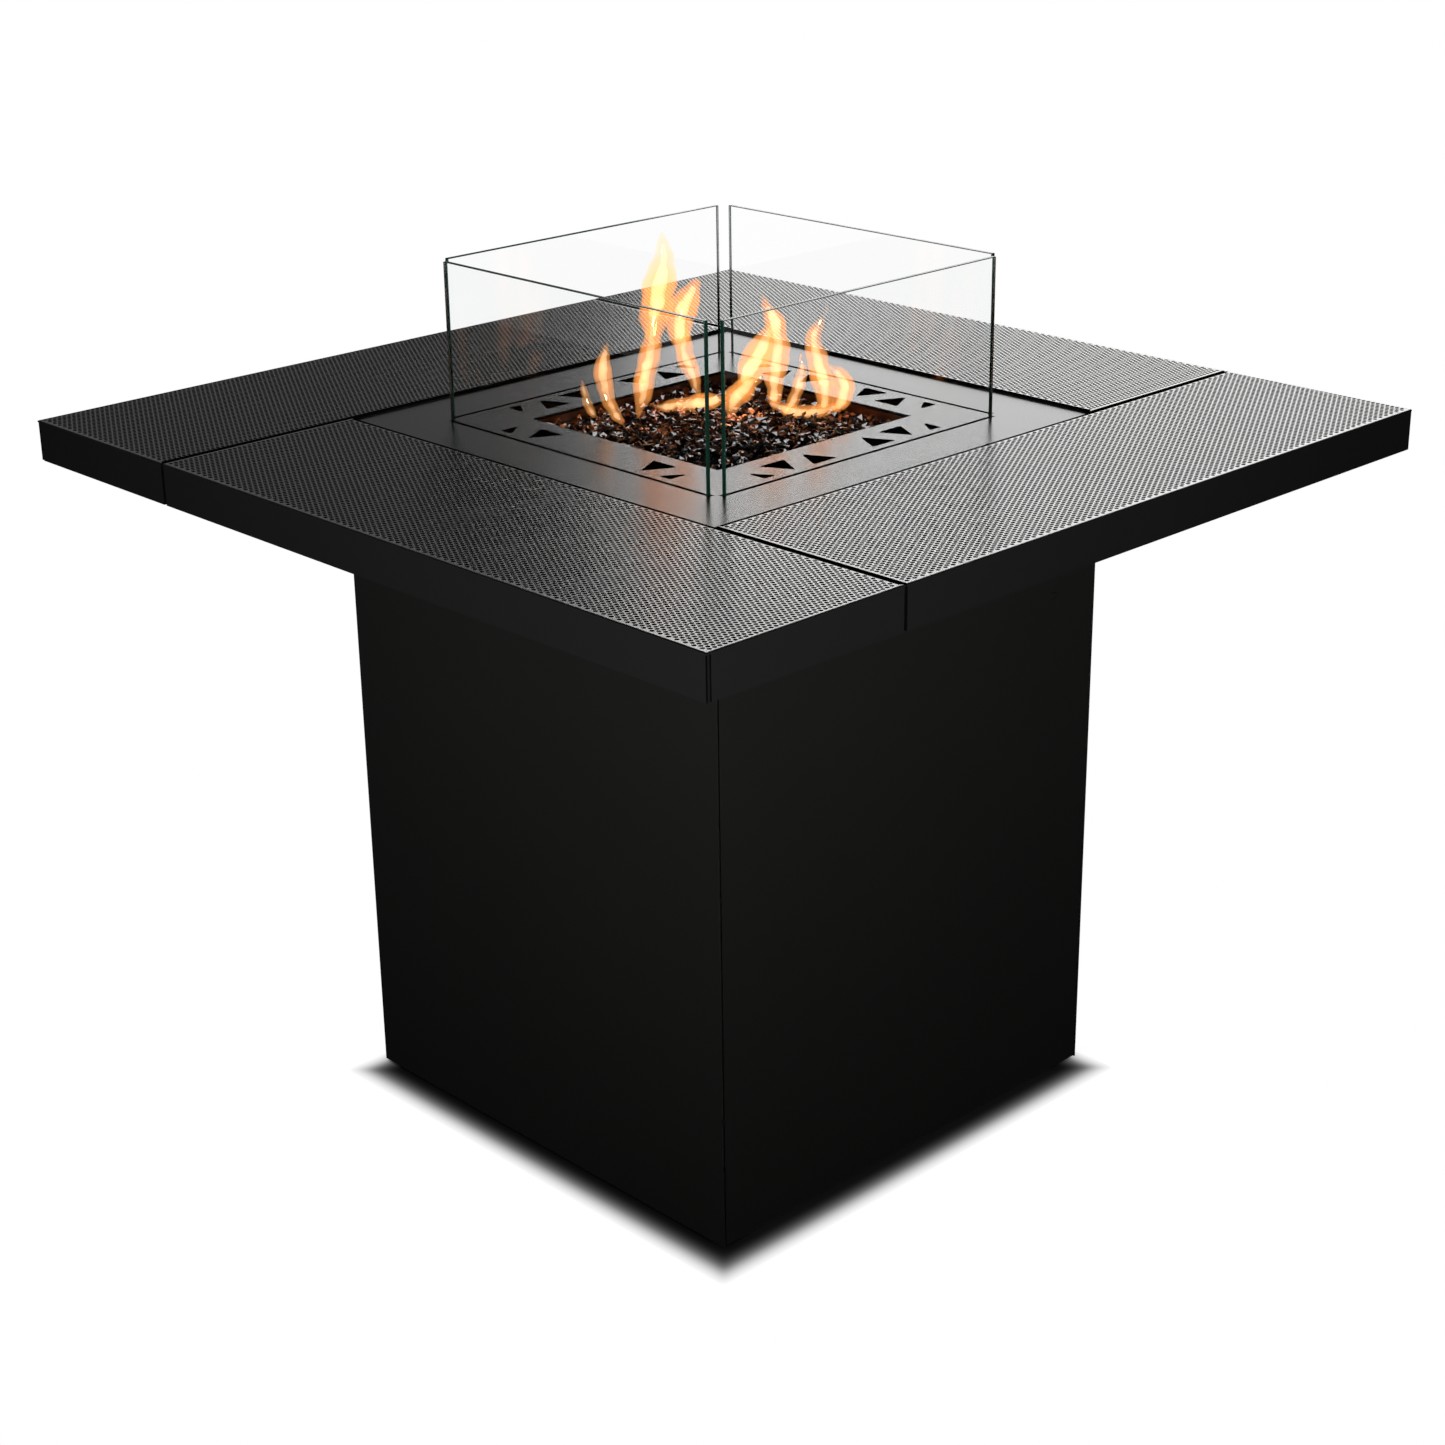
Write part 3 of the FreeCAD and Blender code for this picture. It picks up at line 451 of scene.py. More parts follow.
def hole_field(across, along):
    """Field that fills the given width and length, its middle at the origin."""
    pairs = round(across / ROW_STEP / 2.0)
    holes = int(along / HOLE_STEP)
    bm = bmesh.new()
    hole_cell(bm, 0.0, 0.0)
    repeat(bm, Vector((0, HOLE_STEP, 0)), holes)
    row = bm.verts[:] + bm.edges[:] + bm.faces[:]
    shifted = only(BMVert, bmesh.ops.duplicate(bm, geom=row)["geom"])
    bmesh.ops.translate(bm, verts=shifted, vec=(ROW_STEP, HOLE_STEP / 2.0, 0))
    last_half = (holes - 0.5) * HOLE_STEP
    beyond = [vert for vert in shifted if vert.co.y > last_half + MERGE]
    bmesh.ops.delete(bm, geom=beyond, context="VERTS")
    blank_cell(bm, ROW_STEP, 0.0)
    blank_cell(bm, ROW_STEP, last_half)
    repeat(bm, Vector((2.0 * ROW_STEP, 0, 0)), pairs)
    bmesh.ops.remove_doubles(bm, verts=bm.verts, dist=MERGE)
    size = Vector((2.0 * pairs * ROW_STEP, holes * HOLE_STEP, 0.0))
    bmesh.ops.translate(bm, verts=bm.verts, vec=size / -2.0)
    bmesh.ops.scale(bm, verts=bm.verts, vec=(across / size.x, along / size.y, 1.0))
    return bm


sample = hole_field(50.0 * MM, 50.0 * MM)
print("sample field: faces", len(sample.faces), "open edges", sum(edge.is_boundary for edge in sample.edges))
sample.free()

# %% [markdown]
# ## Fold a board around its field
# A board is one sheet, folded down on all four sides. A ring of triangles joins the field
# to a plain border. The border's outline is then extruded in small steps, outwards and
# down, which gives the soft bend of folded sheet instead of a knife edge. The strip and
# the bends along the burner and the neighbouring board are painted near black as shade,
# which draws a thin black line of painted shadow around the burner cover. The front board
# is built first. The others are quarter turns of it.

# %% Fold a board
front_low, front_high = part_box("board_front")
SHEET = 2.0 * MM
FOLD = 1.6 * MM
FOLD_STEPS = 4
OUTER_BORDER = 3.0 * MM    # plain strip along the skirts
# The strip along the burner and the neighbour is painted in shade.
INNER_BORDER = 5.2 * MM    # unlit strip along the burner and the neighbour
END_BORDER = 4.0 * MM      # plain strip at the lip end
BOARD_SIZE = front_high - front_low
BOARD_MIDDLE = (front_low + front_high) / 2.0
FIELD_LOW = Vector((front_low.x + END_BORDER, front_low.y + OUTER_BORDER, 0))
FIELD_HIGH = Vector((front_high.x - OUTER_BORDER, front_high.y - INNER_BORDER, 0))
UNDER = front_high.z - SHEET


def lay_field(rows_turned):
    """Field of holes in its place on top of the front board."""
    room = FIELD_HIGH - FIELD_LOW
    if rows_turned:
        bm = hole_field(room.y, room.x)
        bmesh.ops.rotate(bm, verts=bm.verts, cent=(0, 0, 0), matrix=Matrix.Rotation(math.pi / 2.0, 3, "Z"))
    else:
        bm = hole_field(room.x, room.y)
    top = (FIELD_LOW + FIELD_HIGH) / 2.0 + Vector((0, 0, front_high.z))
    bmesh.ops.translate(bm, verts=bm.verts, vec=top)
    return bm


def add_border(bm):
    """Plain border around the field, out to where the folds start; gives its outline."""
    field_rim = [edge for edge in bm.edges if edge.is_boundary]
    place = Matrix.Translation((BOARD_MIDDLE.x, BOARD_MIDDLE.y, front_high.z))
    stretch = Matrix.Diagonal((BOARD_SIZE.x - 2.0 * FOLD, BOARD_SIZE.y - 2.0 * FOLD, 1.0, 1.0))
    corners = bmesh.ops.create_grid(bm, x_segments=1, y_segments=1, size=0.5, matrix=place @ stretch)["verts"]
    outline = list({edge for vert in corners for edge in vert.link_edges})
    bmesh.ops.delete(bm, geom=corners[0].link_faces[:], context="FACES_ONLY")
    border = bmesh.ops.triangle_fill(bm, edges=field_rim + outline, use_beauty=False)["geom"]
    # The inner strip of the border is painted near black as shade.
    for face in only(BMFace, border):
        face.material_index = PAINTED_SHADE if face.calc_center_median().y > FIELD_HIGH.y else SKIN
    return outline


def fold_down(bm, outline):
    """Bend the border's outline down in small steps, then close the board underneath."""
    for k in range(1, FOLD_STEPS + 2):
        ring = bmesh.ops.extrude_edge_only(bm, edges=outline)["geom"]
        corners = only(BMVert, ring)
        outline = [edge for edge in only(BMEdge, ring) if all(vert in corners for vert in edge.verts)]
        bend = min(k / FOLD_STEPS, 1.0) * math.pi / 2.0
        drop = FOLD * (1.0 - math.cos(bend)) if k <= FOLD_STEPS else SHEET
        inset = FOLD * (1.0 - math.sin(bend))
        now_x = max(corner.co.x for corner in corners) - BOARD_MIDDLE.x
        now_y = max(corner.co.y for corner in corners) - BOARD_MIDDLE.y
        wider = ((BOARD_SIZE.x / 2.0 - inset) / now_x, (BOARD_SIZE.y / 2.0 - inset) / now_y, 1.0)
        bmesh.ops.scale(bm, verts=corners, vec=wider,
                        space=Matrix.Translation((-BOARD_MIDDLE.x, -BOARD_MIDDLE.y, 0)))
        bmesh.ops.translate(bm, verts=corners, vec=(0, 0, front_high.z - drop - corners[0].co.z))
        # Bends along the burner and the neighbour are painted near black as shade.
        for face in only(BMFace, ring):
            middle = face.calc_center_median()
            inner = middle.y > FIELD_HIGH.y or middle.x < FIELD_LOW.x
            face.material_index = PAINTED_SHADE if inner else SKIN if k < FOLD_STEPS else EDGE
    under = bmesh.ops.contextual_create(bm, geom=outline)["faces"]
    under[0].material_index = EDGE
    bmesh.ops.recalc_face_normals(bm, faces=bm.faces)


print("room for holes, in mm:", [round(side / MM) for side in (FIELD_HIGH - FIELD_LOW).xy])

# %% [markdown]
# ## Hang the skirts and lips
# Deep skirts hang from the two sides that show, and short lips from the two inner sides,
# all as thin walls. A narrow slit is left at the table's corner, where the sheet was cut,
# and the cut ends are painted near black as shade. A strip painted near black as shade
# stands behind the seam between two boards, so that no light shines through it.

# %% Hang the skirts and lips
LIP = 8.0 * MM
CORNER_SLIT = 3.2 * MM
CORNER_SHORT = 1.0 * MM    # the front skirt ends this far before the corner
SKIRT_SHORT = 1.2 * MM     # the skirts stop short of the seam between two boards
LIP_SHORT = 40.0 * MM      # the lip along the burner ends this far from the table's edge
CUT_END = 1.1 * SHEET * (front_high.z - front_low.z)   # a wall's cut end is no bigger than this
# The strip behind a seam is painted near black as shade.
STRIP = 1.0 * MM           # thickness of the dark strip behind a seam
STRIP_NEAR = 10.0 * MM     # how far it starts before the seam
STRIP_GAP = 1.3 * MM       # how far it reaches past the seam at full height
STRIP_FAR = 5.0 * MM       # how much further it goes, under the neighbour's lip
STRIP_CLEAR = 0.2 * MM     # air between the strip and that lip


def add_walls(bm, walls, painted_shade_below):
    """Closed boxes whose faces smaller than the given area are painted near black as shade."""
    for low, high in walls:
        for vert in solid_box(bm, low, high):
            for face in vert.link_faces:
                face.material_index = PAINTED_SHADE if face.calc_area() < painted_shade_below else EDGE


def hang_walls(bm):
    """Skirts on the outer sides, lips on the inner sides, and a strip painted as shade behind the seam."""
    x0, y0, x1, y1 = front_low.x, front_low.y, front_high.x, front_high.y
    foot, lip_low = front_low.z, UNDER - LIP
    # The small cut ends of these walls are painted near black as shade.
    add_walls(bm, (
        ((x0 + SKIRT_SHORT, y0, foot), (x1 - CORNER_SHORT, y0 + SHEET, UNDER)),
        ((x1 - SHEET, y0 + SHEET + CORNER_SLIT, foot), (x1, y1 - SKIRT_SHORT, UNDER)),
        ((x0, y1 - SHEET, lip_low), (x1 - LIP_SHORT, y1, UNDER)),
        ((x0, y0 + SHEET, lip_low), (x0 + SHEET, y1 - SHEET, UNDER)),
    ), CUT_END)
    inner, past = x1 - SHEET, y1 + STRIP_GAP
    # The strip behind the seam is painted near black as shade all over.
    add_walls(bm, (
        ((inner - STRIP, y1 - STRIP_NEAR, foot), (inner, past, UNDER)),
        ((inner - STRIP, past, foot), (inner, past + STRIP_FAR, lip_low - STRIP_CLEAR)),
        ((x1 - LIP_SHORT, y1 - SHEET, UNDER - SHEET), (inner - STRIP, past, UNDER)),
    ), math.inf)


def fold_board(rows_turned):
    """The whole front board, as one mesh."""
    bm = lay_field(rows_turned)
    fold_down(bm, add_border(bm))
    hang_walls(bm)
    return bm


straight_rows = fold_board(False)
turned_rows = fold_board(True)
print("faces in a board:", len(straight_rows.faces), "and", len(turned_rows.faces))
print("open edges:", sum(edge.is_boundary for edge in straight_rows.edges))

# %% [markdown]
# ## Lay the four boards
# Three boards share one mesh, turned. In the fourth the rows run the other way, so that
# mesh is turned instead. The turn is baked into the points, so each board's object stays
# at the origin and its finish reads the same coordinates as every other piece.

# %% Place the boards
# The third board finish is the painted shade.
BOARD_FINISHES = (board_skin, powder_edge, painted_shade_black)
for quarter, side in enumerate(("front", "right", "back", "left")):
    board = (turned_rows if side == "left" else straight_rows).copy()
    bmesh.ops.rotate(board, verts=board.verts, cent=(0, 0, 0),
                     matrix=Matrix.Rotation(quarter * math.pi / 2.0, 3, "Z"))
    make_piece(board, "perforated_board_" + side, "root", BOARD_FINISHES, ["board_" + side])
straight_rows.free()
turned_rows.free()

# %% [markdown]
# ## Clear panes with green edges
# Float glass looks clear through its face and green through its edge, because light that
# comes out of the edge has crossed the whole pane. Each pane is a thin slab with a small
# ground chamfer. The two big faces get clear glass. The rim faces get a dark green glass
# that lets a little light through.

# %% Glass finishes
CLEAR, RIM = 0, 1
GROUND_EDGE = 0.7 * MM
DEEPER = 0.97              # the deeper tone of a tint, as a share of it


def glass(name, tint, rough, ior, see_through, cloud):
    """Glass whose tint and roughness wander very slightly, as on a handled pane."""
    material, tree, shader = new_material(name, Metallic=0.0, IOR=ior, Transmission_Weight=see_through)
    mask = noise(tree, object_coordinates(tree), cloud, detail=3.0)
    tone = colour_ramp(tree, mask, ((0.0, [channel * DEEPER for channel in tint]), (1.0, tint)))
    tree.links.new(tone, shader.inputs["Base Color"])
    tree.links.new(spread(tree, mask, rough[0], rough[1]), shader.inputs["Roughness"])
    return material


clear_glass = glass("clear_glass", (0.995, 1.0, 0.998), (0.0, 0.004), 1.22, 1.0, 3.0)
green_rim = glass("green_rim", (0.012, 0.055, 0.036), (0.12, 0.25), 1.35, 0.3, 40.0)


def glass_pane(side):
    """One pane, in the place of its part, with ground edges."""
    low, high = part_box("pane_" + side)
    bm = bmesh.new()
    solid_box(bm, low, high)
    round_edges(bm, bm.edges[:], GROUND_EDGE)
    across = 0 if high.x - low.x < high.y - low.y else 1
    for face in bm.faces:
        face.material_index = CLEAR if abs(face.normal[across]) > 0.99 else RIM
    make_piece(bm, "glass_pane_" + side, "glass_" + side, (clear_glass, green_rim),
               ["pane_" + side])


for side in ("front", "right", "back", "left"):
    glass_pane(side)

# %% [markdown]
# ## A bed of broken fire glass
# Fire glass is tempered glass, broken into lumps with flat shiny faces. Most lumps are
# black, some brown, and a few are coppery and catch the light. A Voronoi texture splits
# space into cells of one random colour each, so a lump takes the tone of its cell.

# %% Colour the fire glass
CELLS_PER_METRE = 95.0     # cells a little larger than a lump
GLASS_TONES = ((0.0, (0.003, 0.003, 0.003)), (0.55, (0.007, 0.005, 0.0045)), (0.70, (0.018, 0.010, 0.007)),
               (0.86, (0.05, 0.026, 0.016)), (1.0, (0.26, 0.19, 0.15)))


def fire_glass_finish():
    """Black, brown and copper glass, one tone to a cell."""
    material, tree, shader = new_material("broken_fire_glass", Metallic=0.0, IOR=1.6)
    place = object_coordinates(tree)
    cells = tree.nodes.new("ShaderNodeTexVoronoi")
    cells.inputs["Scale"].default_value = CELLS_PER_METRE
    tree.links.new(place, cells.inputs["Vector"])
    parts = tree.nodes.new("ShaderNodeSeparateColor")
    tree.links.new(cells.outputs["Color"], parts.inputs["Color"])
    tree.links.new(colour_ramp(tree, parts.outputs["Red"], GLASS_TONES), shader.inputs["Base Color"])
    shine = noise(tree, place, 260.0, detail=2.0)
    tree.links.new(spread(tree, shine, 0.04, 0.16), shader.inputs["Roughness"])
    return material


fire_glass = fire_glass_finish()
print("tones of fire glass:", len(GLASS_TONES))

# %% [markdown]
# ## Strew the lumps
# A lump is made by throwing a few points into a flattened ball and wrapping them in their
# convex hull, the shape a stretched skin would take. A few thousand lumps of a dozen faces
# are cheap. They are strewn over a dark bed with a fixed seed, so the heap is the same
# every time.

# %% Strew the fire glass
CHIP_SPACING = 7.2 * MM
CHIP_RADIUS = (4.0 * MM, 7.5 * MM)
CHIP_POINTS = 8
CHIP_WIDTH, CHIP_HEIGHT = 0.72, 0.5  # as shares of a lump's length
CHIP_JAGGED = (0.85, 1.1)  # how far its points lie from its middle, as shares of its radius
CHIP_TILT = 0.9            # steepest tilt, in radians
BED_DROP = 15.0 * MM       # the dark bed lies this far under the top of the heap
BED_EDGE = 2.0 * MM
LAYERS = 3
FIRST_LAYER = 3.0 * MM     # height over the bed
LAYER_STEP = 4.0 * MM
LAYER_JITTER = 1.5 * MM
TOP_LAYER_SKIPPED = 0.45   # share of the lumps left out of the top layer


def add_chip(bm, middle, size, dice):
    """One lump of broken glass."""
    spin = Matrix.Rotation(dice.uniform(0.0, math.tau), 3, "Z")
    turn = spin @ Matrix.Rotation(dice.uniform(-CHIP_TILT, CHIP_TILT), 3, "X")
    points = []
    for _ in range(CHIP_POINTS):
        spot = Vector([dice.gauss(0.0, 1.0) for _ in range(3)]).normalized()
        spot = Vector((spot.x, spot.y * CHIP_WIDTH, spot.z * CHIP_HEIGHT)) * size * dice.uniform(*CHIP_JAGGED)
        points.append(bm.verts.new(middle + turn @ spot))
    hull = bmesh.ops.convex_hull(bm, input=points, use_existing_faces=False)
    inside = only(BMVert, hull["geom_interior"] + hull["geom_unused"])
    bmesh.ops.delete(bm, geom=list(set(inside)), context="VERTS")


def strewn_layer(low, high, height, skipped, dice):
    """One layer of lumps over the whole bed, as a loose mesh."""
    mesh = bpy.data.meshes.new("strewn_layer")
    layer = bmesh.new()
    count = int((high.x - low.x) / CHIP_SPACING)
    for column in range(count):
        patch = bmesh.new()
        for row in range(count):
            size = dice.uniform(*CHIP_RADIUS)
            x = low.x + (column + dice.random()) * CHIP_SPACING
            y = low.y + (row + dice.random()) * CHIP_SPACING
            z = height + dice.uniform(-LAYER_JITTER, LAYER_JITTER)
            if dice.random() < skipped:
                continue
            x = min(max(x, low.x + size), high.x - size)
            y = min(max(y, low.y + size), high.y - size)
            add_chip(patch, Vector((x, y, z)), size, dice)
        patch.to_mesh(mesh)
        patch.free()
        layer.from_mesh(mesh)
    layer.to_mesh(mesh)
    layer.free()
    return mesh


def fire_glass_heap():
    """Dark bed with layers of lumps strewn over it."""
    low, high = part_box("fire_glass")
    bed_top = high.z - BED_DROP
    bm = bmesh.new()
    solid_box(bm, low, (high.x, high.y, bed_top))
    upper = [edge for edge in bm.edges if min(vert.co.z for vert in edge.verts) > low.z + MM]
    round_edges(bm, upper, BED_EDGE)
    dice = random.Random(7)
    for layer in range(LAYERS):
        skipped = TOP_LAYER_SKIPPED if layer == LAYERS - 1 else 0.0
        bm.from_mesh(strewn_layer(low, high, bed_top + FIRST_LAYER + LAYER_STEP * layer, skipped, dice))
    bmesh.ops.recalc_face_normals(bm, faces=bm.faces)
    make_piece(bm, "fire_glass_heap", "root", (fire_glass,), ["fire_glass"])


fire_glass_heap()

# %% [markdown]
# ## Soften the sheet edges
# Real sheet has no knife edges: a brake leaves a small bend and a file breaks the rest.
# That thin rounded line is what catches light along the pedestal's corner, the door and
# the burner cover. The exact parts stay hidden in the frame, and a copy of each is shown.
# The copy is first merged and its flat faces joined, then every sharp edge is bevelled.

# %% Bevel copies of the sheet parts
SHARP = math.radians(40.0)  # edges that bend more than this are rounded
FLAT = math.radians(1.0)   # faces that bend less than this are joined
SAME_POINT = 0.01 * MM
PANEL_EDGE = 0.5 * MM
COVER_EDGE = 0.45 * MM


def softened(node, body, finish, radius):
    """Copy of a part with its sharp edges rounded."""
    bm = bmesh.new()
    bm.from_mesh(frame["nodes"][node].data)
    bmesh.ops.remove_doubles(bm, verts=bm.verts, dist=SAME_POINT)
    bmesh.ops.dissolve_limit(bm, angle_limit=FLAT, verts=bm.verts, edges=bm.edges,
                             use_dissolve_boundaries=False)
    sharp = [edge for edge in bm.edges if edge.is_manifold and edge.calc_face_angle() > SHARP]
    round_edges(bm, sharp, radius)
    for face in bm.faces:
        face.material_index = 0
    make_piece(bm, node + "_soft_edged", body, (finish,), [node])


for node in ("front_panel", "back_panel", "left_panel", "door_header"):
    softened(node, "root", powder_panel, PANEL_EDGE)
softened("door", "access_door", powder_panel, PANEL_EDGE)
softened("cover_plate", "cover", satin_cover, COVER_EDGE)

# %% [markdown]
# ## Flames
# Flames come and go, so they belong to the studio, not the table. A tongue of fire is
# drawn as a line from its foot to its tip that bows and sways, and its width swells and
# fades along that line. The tongues are laid out as the camera sees them: across, up, and
# away from it.

# %% Draw the tongues
FLAME_ACROSS = Vector((math.cos(CAMERA_AZIMUTH), math.sin(CAMERA_AZIMUTH), 0.0))
FLAME_AWAY = Vector((-math.sin(CAMERA_AZIMUTH), math.cos(CAMERA_AZIMUTH), 0.0))
FULLNESS = 0.8             # under 1, a tongue keeps its width for longer
# Each tongue, in mm: foot and tip as (across, height), half width, the share of its length
# at which it is widest, bow to the left, sway, and how far back it stands.
TONGUES = {
    "tall_left_stem": ((-86, 738), (-63, 880), 10.5, 0.40, -3, 0, 42),
    "tall_left_flare": ((-67, 810), (-58, 934), 17, 0.45, 0, 3, 42),
    "tall_right_stem": ((-20, 750), (-40, 862), 9, 0.45, 7, 0, 66),
    "tall_right_flare": ((-42, 800), (-22, 880), 15, 0.55, 8, 0, 60),
    "middle": ((54, 738), (44, 864), 12, 0.48, -9, 3, 55),
    "middle_wing": ((18, 760), (56, 834), 14, 0.50, 0, 0, 70),
    "right": ((102, 738), (110, 856), 11, 0.40, 6, -7, 29),
    "right_low": ((117, 738), (105, 796), 10.5, 0.45, -16, 0, 44),
    "right_small": ((63, 738), (82, 806), 7, 0.50, -8, 0, 42),
    "left_curl": ((-97, 738), (-113, 832), 8.5, 0.50, 14, 0, 3),
    "left_tip": ((-128, 745), (-142, 785), 5, 0.45, 3, 0, 20),
    "low_glow": ((-75, 744), (5, 752), 9, 0.60, -4, 0, 70),
    "low_front": ((6, 738), (48, 786), 11, 0.45, 9, 0, 34),
    "low_right": ((44, 756), (129, 750), 7.5, 0.50, -13, 0, 45),
}


def on_flame_line(name, share):
    """Point of a tongue's middle line, from its foot at 0 to its tip at 1."""
    foot, tip, _, _, bow, sway, back = TONGUES[name]
    chord = Vector(tip) - Vector(foot)
    leftward = Vector((-chord.y, chord.x)).normalized()
    off = bow * math.sin(math.pi * share) + sway * math.sin(math.tau * share)
    flat = Vector(foot) + chord * share + leftward * off
    return (FLAME_ACROSS * flat.x + FLAME_AWAY * back + Vector((0, 0, flat.y))) * MM


def swell(name, share):
    """Half width of a tongue, widest at its own share of the length."""
    _, _, half, widest, _, _, _ = TONGUES[name]
    bend = math.log(0.5) / math.log(widest)
    return half * max(math.sin(math.pi * share ** bend), 0.0) ** FULLNESS * MM


print("tongues:", len(TONGUES))

# %% [markdown]
# ## Gas that glows
# A flame has no surface. It is a thin body of glowing gas: bright where the eye looks
# through much of it, faint at its rim. So a tongue is filled with a volume that glows
# orange and soaks up blue, with a hotter, paler core inside. A Light Path node dims what
# is mirrored, which keeps the reflections of the fire soft and free of specks.

# %% Burning gas
MIRRORED_SHARE = 0.5


def bare_material(name):
    """Material with nothing in its tree but an output."""
    material = bpy.data.materials.new(name)
    material.use_nodes = True
    tree = material.node_tree
    tree.nodes.clear()
    return material, tree, tree.nodes.new("ShaderNodeOutputMaterial")


def burning_gas(name, glow, strength, keeps, density):
    """Volume that glows in one colour and lets another pass, weaker in a mirror."""
    material, tree, out = bare_material(name)
    nodes, links = tree.nodes, tree.links
    path = nodes.new("ShaderNodeLightPath")
    dimmed = nodes.new("ShaderNodeMapRange")
    dimmed.inputs["To Min"].default_value = strength
    dimmed.inputs["To Max"].default_value = strength * MIRRORED_SHARE
    emit = nodes.new("ShaderNodeEmission")
    emit.inputs["Color"].default_value = (*glow, 1.0)
    soak = nodes.new("ShaderNodeVolumeAbsorption")
    soak.inputs["Color"].default_value = (*keeps, 1.0)
    soak.inputs["Density"].default_value = density
    both = nodes.new("ShaderNodeAddShader")
    links.new(path.outputs["Glossy Depth"], dimmed.inputs["Value"])
    links.new(dimmed.outputs["Result"], emit.inputs["Strength"])
    links.new(emit.outputs[0], both.inputs[0])
    links.new(soak.outputs[0], both.inputs[1])
    links.new(both.outputs[0], out.inputs["Volume"])
    return material


flame_gas = burning_gas("flame_gas", (1.0, 0.40, 0.095), 82.0, (0.75, 0.26, 0.045), 58.0)
flame_core = burning_gas("flame_core", (1.0, 0.84, 0.50), 130.0, (0.4, 0.4, 0.2), 30.0)
print("volumes:", flame_gas.name, flame_core.name)

# %% [markdown]
# ## Wrap a skin around each tongue
# A volume needs a closed skin to fill. Rings are placed along the tongue's line and
# bridged, a Subdivision Surface smooths them, and a Displace modifier with a cloudy
# texture licks the outline out of its regular shape.

# %% Wrap the tongues
FLAME_SIDES = 10
FLAME_RINGS = 11
FLAME_DEPTH = 0.6          # a tongue's depth as a share of its width
GAS_GIRTH = 1.18           # widths of the gas and of its core, as shares of the tongue's
CORE_GIRTH = 0.5
CORE_ENDS = (0.1, 0.9)     # the core stops short of foot and tip
THINNEST = 0.3 * MM
LICKS = bpy.data.textures.new("flame_licks", "CLOUDS")
LICKS.noise_scale = 0.022
LICK_DEPTH = 9.0 * MM


def tongue(name, title, girth, ends, finish):
    """Closed skin of one tongue of fire, between two shares of its length."""
    last = FLAME_RINGS - 1
    shares = [ends[0] + (ends[1] - ends[0]) * k / last for k in range(FLAME_RINGS)]
    line = [on_flame_line(name, share) for share in shares]
    bm = bmesh.new()
    rings = []
    for k, spot in enumerate(line):
        along = (line[min(k + 1, last)] - line[max(k - 1, 0)]).normalized()
        side = along.cross(FLAME_AWAY).normalized()
        half = max(swell(name, shares[k]) * girth, THINNEST)
        turn = Matrix((side * half, FLAME_AWAY * half * FLAME_DEPTH, along)).transposed().to_4x4()
        ring = bmesh.ops.create_circle(bm, segments=FLAME_SIDES, radius=1.0, cap_ends=k in (0, last),
                                       matrix=Matrix.Translation(spot) @ turn)["verts"]
        rings.append({edge for vert in ring for edge in vert.link_edges})
    for lower, upper in zip(rings, rings[1:]):
        bmesh.ops.bridge_loops(bm, edges=list(lower | upper))
    bmesh.ops.recalc_face_normals(bm, faces=bm.faces)
    fire = object_from(bm, title, (finish,))
    smooth = fire.modifiers.new("smooth", "SUBSURF")
    smooth.levels = smooth.render_levels = 2
    lick = fire.modifiers.new("lick", "DISPLACE")
    lick.texture = LICKS
    lick.texture_coords = "LOCAL"
    lick.strength = LICK_DEPTH
    lick.mid_level = 0.5


for name in TONGUES:
    tongue(name, "flame_" + name, GAS_GIRTH, (0.0, 1.0), flame_gas)
    tongue(name, "flame_core_" + name, CORE_GIRTH, CORE_ENDS, flame_core)
print("flame skins:", 2 * len(TONGUES))

# %% [markdown]
# ## Firelight
# A glowing volume lights its surroundings only by luck in a short render. A few small
# warm lamps inside the tongues carry its light to the glass, the cover and the boards.

# %% Warm lamps
FIRE_COLOUR = (1.0, 0.52, 0.22)
FIRE_LAMP_SIZE = 12.0 * MM
# Each lamp: its tongue, how far up it sits, and its power in watts.
FIRE_LAMPS = (("tall_left_flare", 0.45, 0.7), ("tall_right_flare", 0.4, 0.4), ("middle", 0.45, 0.5),
              ("right", 0.5, 0.35), ("left_curl", 0.5, 0.2), ("low_front", 0.45, 0.25))


def add_lamp(name, kind, place, mirrored=False):
    """Lamp that the camera does not see, and mirrors and panes only if told so."""
    lamp = bpy.data.objects.new(name, bpy.data.lights.new(name, kind))
    lamp.location = place
    lamp.visible_camera = False
    lamp.visible_glossy = mirrored
    lamp.visible_transmission = mirrored
    bpy.context.scene.collection.objects.link(lamp)
    return lamp


for name, share, watts in FIRE_LAMPS:
    light = add_lamp("lamp_in_" + name, "POINT", on_flame_line(name, share)).data
    light.energy = watts
    light.color = FIRE_COLOUR
    light.shadow_soft_size = FIRE_LAMP_SIZE
print("fire lamps:", len(FIRE_LAMPS))

# %% [markdown]
# ## A white room that mirrors dark
# The room is plain white. The camera and anything seen through glass meet pure white.
# Everything else meets a dim grey, because black coated metal only looks black when it
# has something dark to mirror. A Light Path node tells the two apart, because it counts
# how often a ray has bounced.

# %% World
WORLD_GREY = 0.02
NO_BOUNCE = 0.5            # a ray with fewer bounces than this has had none


def calculate(tree, kind, operation, *values):
    """Math or Vector Math node fed with outputs or plain numbers; gives its result."""
    node = tree.nodes.new(kind)
    node.operation = operation
    for socket, value in zip(node.inputs, values):
        if isinstance(value, bpy.types.NodeSocket):
            tree.links.new(value, socket)
        else:
            socket.default_value = value
    return node.outputs[0]


